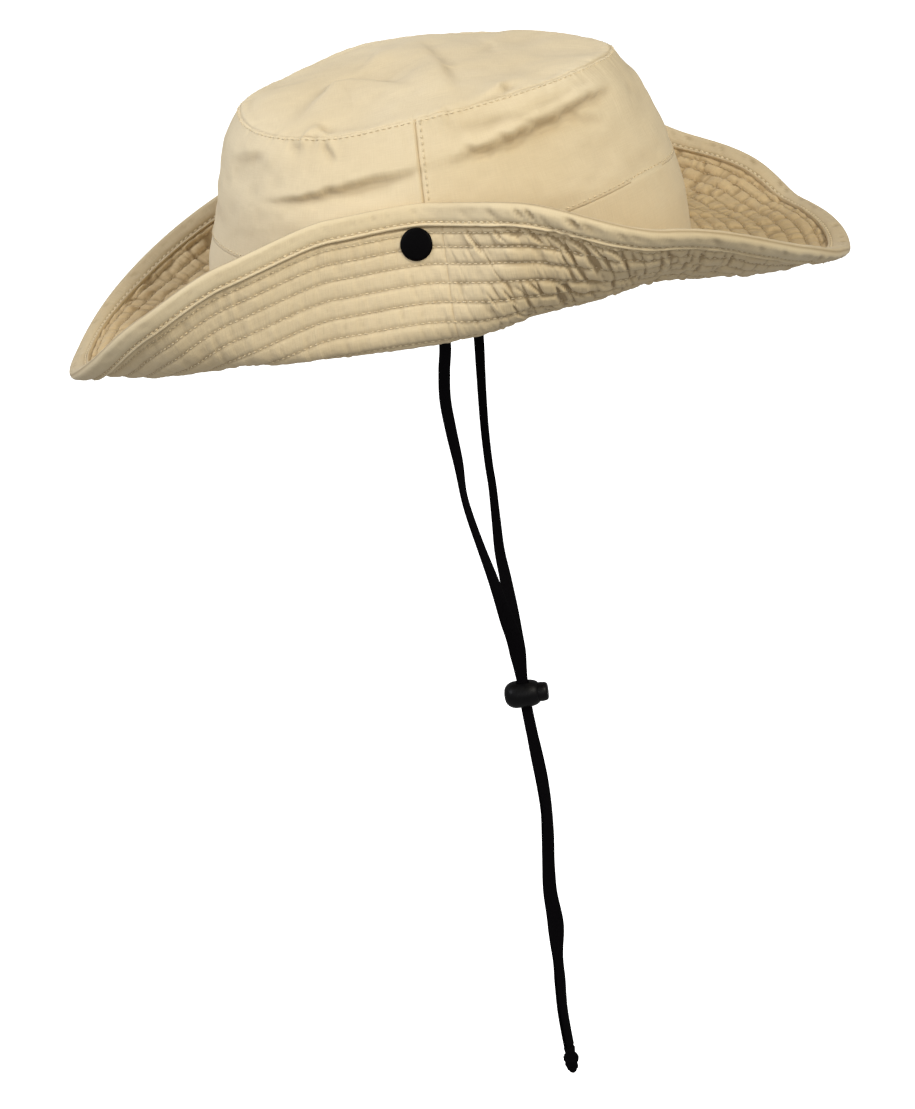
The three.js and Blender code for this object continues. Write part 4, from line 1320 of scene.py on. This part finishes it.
def cloth_material(name, light, middle, dark, crush=0.25, folded=0.6):
    material, tree, sockets, place = new_material(name, {
        "Roughness": 0.82, "Specular IOR Level": 0.3, "Sheen Weight": 0.12, "Sheen Roughness": 0.5,
    })
    drift = noise_on(tree, place["Object"], 16.0, detail=3.0)
    warp = noise_on(tree, place["UV"], 1.0, stretch=(2600, 160, 1), detail=1.0)
    weft = noise_on(tree, place["UV"], 1.0, stretch=(150, 2600, 1), detail=1.0)
    threads = new_node(tree, "ShaderNodeMath", operation="ADD")
    tree.links.new(warp, threads.inputs[0])
    tree.links.new(weft, threads.inputs[1])
    tone = mixed_colour(tree, ranged(tree, drift, 0.35, 0.65), middle, light)
    fleck = ranged(tree, threads.outputs[0], 0.75, 1.3, 0.16, 0.0)
    woven = mixed_colour(tree, fleck, tone, dark)
    # Painted shade: the deeper a point lies, the more its colour goes to the crease colour, up to folded
    crease_shade = new_node(tree, "ShaderNodeAttribute", attribute_name="crease_shade")
    depth = ranged(tree, crease_shade.outputs["Fac"], 0.0, 1.0, 0.0, folded)
    tree.links.new(mixed_colour(tree, depth, woven, CREASE_SHADE_COLOUR), sockets["Base Color"])
    fine = noise_on(tree, place["Object"], 130.0, detail=3.0)
    ripples = noise_on(tree, place["UV"], 1.0, stretch=(900, 70, 1), detail=2.0)
    soft = relief(tree, fine, crush, 0.0012)
    rippled = relief(tree, ripples, crush, 0.0005, soft)
    weave = relief(tree, threads.outputs[0], 0.14, 0.00018, rippled)
    tree.links.new(weave, sockets["Normal"])
    return material


crown_cloth = cloth_material("crown_cloth", srgb(231, 214, 180), srgb(225, 206, 169),
                             srgb(190, 166, 124), folded=0.2)
brim_cloth = cloth_material("brim_cloth", srgb(228, 208, 170), srgb(221, 199, 158),
                            srgb(180, 156, 112), crush=0.5, folded=0.5)
# Painted shade: the brim's upper side is a darker, browner copy of the brim cloth, for its shadow
brim_upper_shaded_cloth = cloth_material("brim_upper_shaded_cloth", srgb(212, 188, 145), srgb(204, 178, 134),
                                  srgb(160, 134, 92), crush=0.5, folded=0.5)
binding_cloth = cloth_material("binding_cloth", srgb(230, 212, 175), srgb(223, 203, 164),
                               srgb(184, 160, 118))


def thread_material(name, light, dark):
    material, tree, sockets, place = new_material(name, {"Roughness": 0.6, "Sheen Weight": 0.2})
    drift = noise_on(tree, place["Object"], 900.0)
    tree.links.new(mixed_colour(tree, drift, light, dark), sockets["Base Color"])
    return material


khaki_thread = thread_material("khaki_thread", srgb(240, 225, 190), srgb(206, 184, 142))
shaded_thread = thread_material("shaded_thread", srgb(206, 182, 140), srgb(176, 150, 106))

# %% [markdown]
# ## Black parts
#
# The cord is a matt braid whose strands catch a trace of light along their tops. The lock is
# moulded plastic with a fine grain from the mould and a soft broad shine. The snap caps are
# lacquered metal: darker and, in places, a little worn to grey.

# %% Black materials
def braid_material():
    material, tree, sockets, place = new_material(
        "black_braid", {"Roughness": 0.8, "Specular IOR Level": 0.04})
    fibre = noise_on(tree, place["UV"], 1.0, stretch=(5200, 900, 1), detail=2.0)
    colour = mixed_colour(tree, ranged(tree, fibre, 0.35, 0.7), srgb(5, 4, 6), srgb(14, 12, 15))
    tree.links.new(colour, sockets["Base Color"])
    tree.links.new(relief(tree, fibre, 0.4, 0.0001), sockets["Normal"])
    return material


def moulded_material():
    material, tree, sockets, place = new_material("moulded_black", {"Specular IOR Level": 0.17})
    grain = noise_on(tree, place["Object"], 2600.0, detail=2.0)
    wear = noise_on(tree, place["Object"], 260.0, detail=3.0)
    colour = mixed_colour(tree, ranged(tree, wear, 0.45, 0.75), srgb(5, 5, 7), srgb(11, 10, 13))
    tree.links.new(colour, sockets["Base Color"])
    tree.links.new(ranged(tree, wear, 0.3, 0.7, 0.34, 0.5), sockets["Roughness"])
    tree.links.new(relief(tree, grain, 0.25, 0.00008), sockets["Normal"])
    return material


def lacquer_material():
    material, tree, sockets, place = new_material("black_lacquer", {"Specular IOR Level": 0.05})
    wear = noise_on(tree, place["Object"], 420.0, detail=4.0)
    scuff = noise_on(tree, place["Object"], 1900.0, detail=2.0)
    colour = mixed_colour(tree, ranged(tree, wear, 0.6, 0.8), srgb(3, 2, 3), srgb(8, 7, 8))
    tree.links.new(colour, sockets["Base Color"])
    tree.links.new(ranged(tree, scuff, 0.3, 0.7, 0.4, 0.6), sockets["Roughness"])
    return material


black_braid = braid_material()
moulded_black = moulded_material()
black_lacquer = lacquer_material()

# %% [markdown]
# ## Sewing the stitches
#
# With the thread's finish made, each group of rows is sewn. The rows on the brim are long and
# many, so their stitch has few faces.

# %% Sew
brim_stitches = {
    name: stitched_piece(f"brim_stitches_{name}", brim_stitch_lines(face_index, sign), thread,
                         Pitch=0.0027, Length=0.002, Thickness=0.00062)
    for name, face_index, sign, thread in (("under", 0, 1, khaki_thread), ("upper", 1, -1, shaded_thread))
}
crown_stitches = stitched_piece("crown_stitches", wall_stitch_lines(), khaki_thread,
                                Pitch=0.0027, Length=0.0019, Thickness=0.0006)
binding_stitches = stitched_piece("binding_stitches", binding_stitch_lines(), khaki_thread,
                                  Pitch=0.0029, Length=0.0021, Thickness=0.0009)

# %% [markdown]
# ## Snap caps
#
# A snap cap is a small pressed disc with a rolled edge and a slightly domed face. It is turned:
# one profile, spun around the direction that points out of the cloth. It is seated on the brim's
# own underside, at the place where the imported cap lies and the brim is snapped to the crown.

# %% Snap caps
SNAP_STEPS = 96
SNAP_PROFILE = [
    (0, 0), (5.7, 0), (6.25, 0.08), (6.6, 0.34), (6.7, 0.72), (6.56, 1.1), (6.2, 1.36),
    (5.75, 1.5), (5.2, 1.55), (3.5, 1.68), (1.6, 1.78), (0, 1.8),
]


def turned_piece(name, profile, base, axis, steps):
    """Spins a profile of radius and height, in millimetres, around an axis through a point."""
    axis = Vector(axis).normalized()
    work = bmesh.new()
    side = axis.orthogonal().normalized()
    points = [Vector(base) + side * (radius * MM) + axis * (height * MM) for radius, height in profile]
    corners = [work.verts.new(point) for point in points]
    edges = [work.edges.new(pair) for pair in zip(corners[:-1], corners[1:])]
    bmesh.ops.spin(work, geom=corners + edges, cent=Vector(base), axis=axis, angle=2 * math.pi,
                   steps=steps, use_duplicate=False)
    bmesh.ops.remove_doubles(work, verts=work.verts, dist=1e-6)
    bmesh.ops.recalc_face_normals(work, faces=work.faces)
    mesh = bpy.data.meshes.new(name)
    work.to_mesh(mesh)
    work.free()
    smooth_faces(mesh)
    return placed(name, mesh)


SNAP_SEAT = {"left": 88.6, "right": 271.5}
SNAP_FROM_RIM = 16.3 * MM


def snap_seat(side):
    """Foot and outward direction of a cap, on the underside of the brim."""
    share = 1 - SNAP_FROM_RIM / BRIM_TOTAL
    angles = SNAP_SEAT[side] + np.array([[-0.5], [0], [0.5]]) * np.ones(3)
    patch = brim_point(angles, share + np.array([-0.01, 0, 0.01]) * np.ones((3, 1)))
    axis = face_normals(patch)[1, 1]
    return patch[1, 1] + axis * BRIM_CLOTH / 2, axis


def make_snap(side):
    foot, axis = snap_seat(side)
    packed_middle = np.mean(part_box(f"snap_cap_{side}"), 0)
    away = float(np.linalg.norm(foot - packed_middle)) / MM
    print(side, "cap's foot lies", round(away, 1), "mm from the middle of the packed cap")
    piece = turned_piece(f"snap_cap_{side}_pressed", SNAP_PROFILE, foot, axis, SNAP_STEPS)
    piece.data.materials.append(black_lacquer)
    return piece


snaps = {side: make_snap(side) for side in ("left", "right")}

# %% [markdown]
# ## Cord lock
#
# The lock is a small moulded barrel with rounded ends. The two cords pass down through a tunnel
# across it, and a sprung button in one end presses them against the tunnel's edge. The barrel and
# the button are turned, then the tunnel is cut through both, and their cut edges get a small round.

# %% Cord lock
LOCK_BARREL = [
    (0, -7.75), (1.6, -7.75), (2.9, -7.5), (4.1, -6.9), (5.1, -5.9), (5.8, -4.6), (6.15, -3.2),
    (6.2, -1.5), (6.2, 1.5), (6.2, 3.2), (6.05, 4.6), (5.75, 5.9), (5.35, 6.9), (4.95, 7.5),
    (4.75, 7.72), (4.7, 7.4), (4.7, -5.35), (0, -5.35),
]
LOCK_BUTTON = [
    (0, -3.05), (4.4, -3.05), (4.4, 9.2), (4.3, 10.4), (4.1, 11.2), (3.75, 11.75), (3.2, 12.02),
    (2.4, 12.05), (1.2, 11.95), (0, 11.9),
]
BARREL_HALF = 7.75 * MM
TUNNEL_HALVES = (2.8 * MM, 1.85 * MM, 12 * MM)
BUTTON_TRAVEL = 2 * MM
BARREL_ROUND = 0.35 * MM
BUTTON_ROUND = 0.15 * MM


def cut_box(name, low, high):
    mesh = bpy.data.meshes.new(name)
    work = bmesh.new()
    bmesh.ops.create_cube(work, size=1.0)
    for vertex in work.verts:
        for axis in range(3):
            vertex.co[axis] = low[axis] if vertex.co[axis] < 0 else high[axis]
    work.to_mesh(mesh)
    work.free()
    return placed(name, mesh)


def cut_and_round(piece, low, high, radius):
    cutter = cut_box("tunnel", low, high)
    hole = piece.modifiers.new("tunnel", "BOOLEAN")
    hole.operation = "DIFFERENCE"
    hole.solver = "EXACT"
    hole.object = cutter
    edge = piece.modifiers.new("edge", "BEVEL")
    edge.width = radius
    edge.segments = 3
    edge.limit_method = "ANGLE"
    edge.angle_limit = math.radians(50)
    graph = bpy.context.evaluated_depsgraph_get()
    mesh = bpy.data.meshes.new_from_object(piece.evaluated_get(graph))
    piece.modifiers.clear()
    old = piece.data
    piece.data = mesh
    mesh.name = old.name
    bpy.data.meshes.remove(old)
    bpy.data.objects.remove(cutter)
    smooth_faces(mesh)


def make_lock():
    low, high = (np.array(corner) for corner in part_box("toggle_body"))
    middle = (low + high) / 2
    base = (middle[0], low[1] + BARREL_HALF, middle[2])
    barrel = turned_piece("lock_barrel", LOCK_BARREL, base, (0, 1, 0), 96)
    button = turned_piece("lock_button", LOCK_BUTTON, base, (0, 1, 0), 80)
    tunnel_middle = LEFT_CORD_ROUTE[-2][1] * MM
    half_wide, half_thin, past = TUNNEL_HALVES
    low = (-half_thin, tunnel_middle - half_wide, base[2] - past)
    high = (half_thin, tunnel_middle + half_wide, base[2] + past)
    cut_and_round(barrel, low, high, BARREL_ROUND)
    high = (half_thin, tunnel_middle + half_wide + BUTTON_TRAVEL, base[2] + past)
    cut_and_round(button, low, high, BUTTON_ROUND)
    for piece in (barrel, button):
        piece.data.materials.append(moulded_black)
    return barrel, button


lock_barrel, lock_button = make_lock()
print("lock faces:", len(lock_barrel.data.polygons), len(lock_button.data.polygons))

# %% [markdown]
# ## End knot
#
# The cords end in one tight overhand knot. Its form is a short swollen body with three loops of
# braid lying slantwise round it and a blunt end below. Each loop is a closed ring around a turned
# core, and the core stands for the cords themselves.

# %% Knot
KNOT_WRAPS = table_of(
    "down tilt toward radius thick",
    (6.4, 24, 20, 2.75, 1.45), (8.6, -30, 75, 2.55, 1.4), (10.9, 20, -30, 2.0, 1.3),
)
KNOT_CORE = [
    (0, 0.1), (2.3, 0.05), (2.7, -0.9), (2.5, -2.6), (2.3, -4.2), (2.9, -6.0), (3.0, -7.6),
    (2.7, -9.2), (2.4, -10.8), (2.1, -12.2), (1.7, -13.4), (1.0, -14.1), (0, -14.2),
]


def ring_strand(middle, tilt, toward, radius, thick):
    """One loop of braid around the core, as rings of a closed tube."""
    around = np.linspace(0, 2 * np.pi, 90, endpoint=False)
    lean = math.radians(tilt)
    turn = math.radians(toward)
    flat = np.stack([np.cos(around), np.sin(around), np.zeros_like(around)], -1) * radius
    sine, cosine = math.sin(lean), math.cos(lean)
    tip = np.array([[cosine, 0, sine], [0, 1, 0], [-sine, 0, cosine]])
    sine, cosine = math.sin(turn), math.cos(turn)
    swing = np.array([[cosine, -sine, 0], [sine, cosine, 0], [0, 0, 1]])
    centre = flat @ tip.T @ swing.T + middle
    tangent = unit(np.roll(centre, -1, 0) - np.roll(centre, 1, 0))
    out = square_to(tangent, centre - middle)
    up = np.cross(tangent, out)
    side = np.linspace(0, 2 * np.pi, 18, endpoint=False)
    run = around * radius
    ribs = 1 + 0.1 * np.cos(2 * np.pi * run[:, None] / (1.3 * MM) + 2 * side[None, :])
    across = np.cos(side)[None, :] * thick * 0.62 * ribs
    along = np.sin(side)[None, :] * thick * ribs
    return centre[:, None] + out[:, None] * across[..., None] + up[:, None] * along[..., None]


def make_knot():
    low, high = (np.array(corner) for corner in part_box("cord_knot"))
    top = np.array([(low[0] + high[0]) / 2, (low[1] + high[1]) / 2, high[2]])
    core = turned_piece("end_knot", KNOT_CORE, top, (0, 0, 1), 48)
    parts = [core]
    for row in KNOT_WRAPS:
        middle = top - np.array([0, 0, row["down"] * MM])
        rings = ring_strand(middle, row["tilt"], row["toward"], row["radius"] * MM, row["thick"] * MM)
        count, around = rings.shape[:2]
        index = np.arange(count * around).reshape(count, around)
        index = np.concatenate([index, index[:1]])
        index = np.concatenate([index, index[:, :1]], 1)
        parts.append(new_object("wrap", rings.reshape(-1, 3), grid_quads(index)))
    work = bmesh.new()
    for part in parts:
        work.from_mesh(part.data)
    bmesh.ops.recalc_face_normals(work, faces=work.faces)
    for part in parts[1:]:
        bpy.data.objects.remove(part)
    work.to_mesh(core.data)
    work.free()
    smooth_faces(core.data)
    core.data.materials.append(black_braid)
    return core


knot = make_knot()

# %% [markdown]
# ## Finishes on every piece
#
# The crown has the lightest cloth. The brim has two: one for its underside, which faces out where
# the brim is turned up, and a darker, browner copy for its upper side, with painted shade for the
# shadow between the crown and the turned-up brim, so its faces get a number each. The cords are
# the black braid, and the studs under the caps have the caps' lacquer.

# %% Hand out the materials
for piece in (walls["front"][0], walls["back"][0], band, top_panel):
    piece.data.materials.append(crown_cloth)
for piece in (brims["front"][0], brims["back"][0]):
    piece.data.materials.append(brim_cloth)
    # The upper side gets the copy with painted shade
    piece.data.materials.append(brim_upper_shaded_cloth)
    skin = (BRIM_COLUMNS - 1) * (BRIM_ROWS - 1)
    finish = np.zeros(len(piece.data.polygons), np.int32)
    finish[skin:2 * skin] = 1
    piece.data.polygons.foreach_set("material_index", finish)
binding.data.materials.append(binding_cloth)
for piece in (cord_left, cord_right):
    piece.data.materials.append(black_braid)
for side in ("left", "right"):
    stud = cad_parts[f"snap_stud_{side}"]
    stud.data.materials.clear()
    stud.data.materials.append(black_lacquer)

# %% [markdown]
# ## Light and floor
#
# The hat floats on a plain white page. The light is soft and comes from above, so the underside of
# the brim is darker and no shadow is hard. Four large round lamps do that: two cool ones over the
# hat's front, a warm one over its back corner and a weak one beside the camera, with a white room
# around them. The floor is a pale plane under the cord.

# %% Light and floor
FLOOR_HEIGHT = -0.45
FLOOR_HALF = 6.0
ROOM_ABOVE = 0.3
ROOM_BELOW = 0.36


def make_room():
    world = bpy.data.worlds.new("white_room")
    world.use_nodes = True
    tree = world.node_tree
    tree.nodes.clear()
    place = new_node(tree, "ShaderNodeTexCoord")
    split = new_node(tree, "ShaderNodeSeparateXYZ")
    ramp = new_node(tree, "ShaderNodeMapRange", {
        "From Min": -0.6, "From Max": 0.5, "To Min": ROOM_BELOW, "To Max": ROOM_ABOVE,
    }, interpolation_type="SMOOTHSTEP")
    room = new_node(tree, "ShaderNodeBackground", {"Color": (1.0, 0.99, 0.97, 1)})
    page = new_node(tree, "ShaderNodeBackground", {"Color": (1, 1, 1, 1), "Strength": 1.0})
    seen = new_node(tree, "ShaderNodeLightPath")
    pick = new_node(tree, "ShaderNodeMixShader")
    output = new_node(tree, "ShaderNodeOutputWorld")
    for source, name, target, socket in (
        (place, "Generated", split, 0), (split, "Z", ramp, "Value"),
        (ramp, "Result", room, "Strength"), (seen, "Is Camera Ray", pick, 0),
        (room, 0, pick, 1), (page, 0, pick, 2), (pick, 0, output, "Surface"),
    ):
        tree.links.new(source.outputs[name], target.inputs[socket])
    bpy.context.scene.world = world


LAMP_DISTANCE = 2.2
LAMP_SIZE = 0.7
LAMPS = table_of(
    "name around above power colour",
    ("beside camera", 96, 17, 4.4, (1, 1, 1)),
    ("front corner", 35, 38, 12, (0.97, 1, 1.07)),
    ("front", 0, 50, 13.5, (0.95, 1, 1.1)),
    ("back corner", 135, 38, 24, (1.04, 1, 0.88)),
)


def area_lamp(name, around, above, power, colour):
    """A round lamp that looks at the hat, placed by its angle around it and above it."""
    data = bpy.data.lights.new(name, "AREA")
    data.shape = "DISK"
    data.size = LAMP_SIZE
    data.energy = power
    data.color = colour
    turn, rise = math.radians(around), math.radians(above)
    way = Vector((math.cos(rise) * math.sin(turn), -math.cos(rise) * math.cos(turn), math.sin(rise)))
    facing = way.to_track_quat("Z", "Y").to_matrix().to_4x4()
    placed(name, data).matrix_world = Matrix.Translation(way * LAMP_DISTANCE) @ facing


def make_floor():
    mesh = bpy.data.meshes.new("floor")
    corners = [(x * FLOOR_HALF, y * FLOOR_HALF, FLOOR_HEIGHT)
               for x, y in ((-1, -1), (1, -1), (1, 1), (-1, 1))]
    mesh.from_pydata(corners, [], [(0, 1, 2, 3)])
    floor = placed("floor", mesh)
    material = new_material("pale_floor", {
        "Base Color": srgb(250, 250, 250), "Roughness": 0.9,
        "Emission Color": (1, 1, 1, 1), "Emission Strength": 1.0,
    })[0]
    mesh.materials.append(material)
    floor.visible_diffuse = False
    floor.visible_glossy = False
    return floor


make_room()
for lamp in LAMPS:
    area_lamp(**lamp)
floor = make_floor()
floor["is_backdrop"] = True
bpy.context.scene.view_settings.view_transform = "Standard"

# %% [markdown]
# ## What each piece stands for
#
# Each piece is listed with the solid of the imported model that it dresses, and that solid is
# hidden. The pieces and the stitches are tied to the hat; only the lock's button moves by itself.

# %% Tie the pieces to the imported model
for piece, node, slot in (
    (walls["front"][0], "crown_wall_front", "crown_cloth"),
    (walls["back"][0], "crown_wall_back", "crown_cloth"),
    (band, "crown_band", "crown_cloth"),
    (top_panel, "crown_top", "crown_cloth"),
    (brims["front"][0], "brim_front", "brim_cloth"),
    (brims["back"][0], "brim_back", "brim_cloth"),
    (binding, "brim_binding", "binding_cloth"),
    (snaps["left"], "snap_cap_left", "snap"),
    (snaps["right"], "snap_cap_right", "snap"),
    (cord_left, "chin_cord_left", "cord"),
    (cord_right, "chin_cord_right", "cord"),
    (lock_barrel, "toggle_body", "lock"),
    (knot, "cord_knot", "cord"),
):
    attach(piece, "hat")
    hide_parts(node)
for piece, slot in (
    (brim_stitches["under"], "brim_cloth"),
    (brim_stitches["upper"], "brim_cloth"),
    (crown_stitches, "crown_cloth"),
    (binding_stitches, "binding_cloth"),
):
    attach(piece, "hat")
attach(lock_button, "button")
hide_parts("toggle_button")

# %% [markdown]
# ## Size
#
# The finished model has to stay inside the imported one, apart from a little cloth that may stand
# proud. Both boxes are printed so that they can be compared.

# %% Print the sizes
visual_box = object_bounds()
print("visual model, in metres:", [[round(v, 4) for v in corner] for corner in visual_box])
({"cad": [list(map(float, corner)) for corner in cad_box],
           "visual": [list(map(float, corner)) for corner in visual_box]})
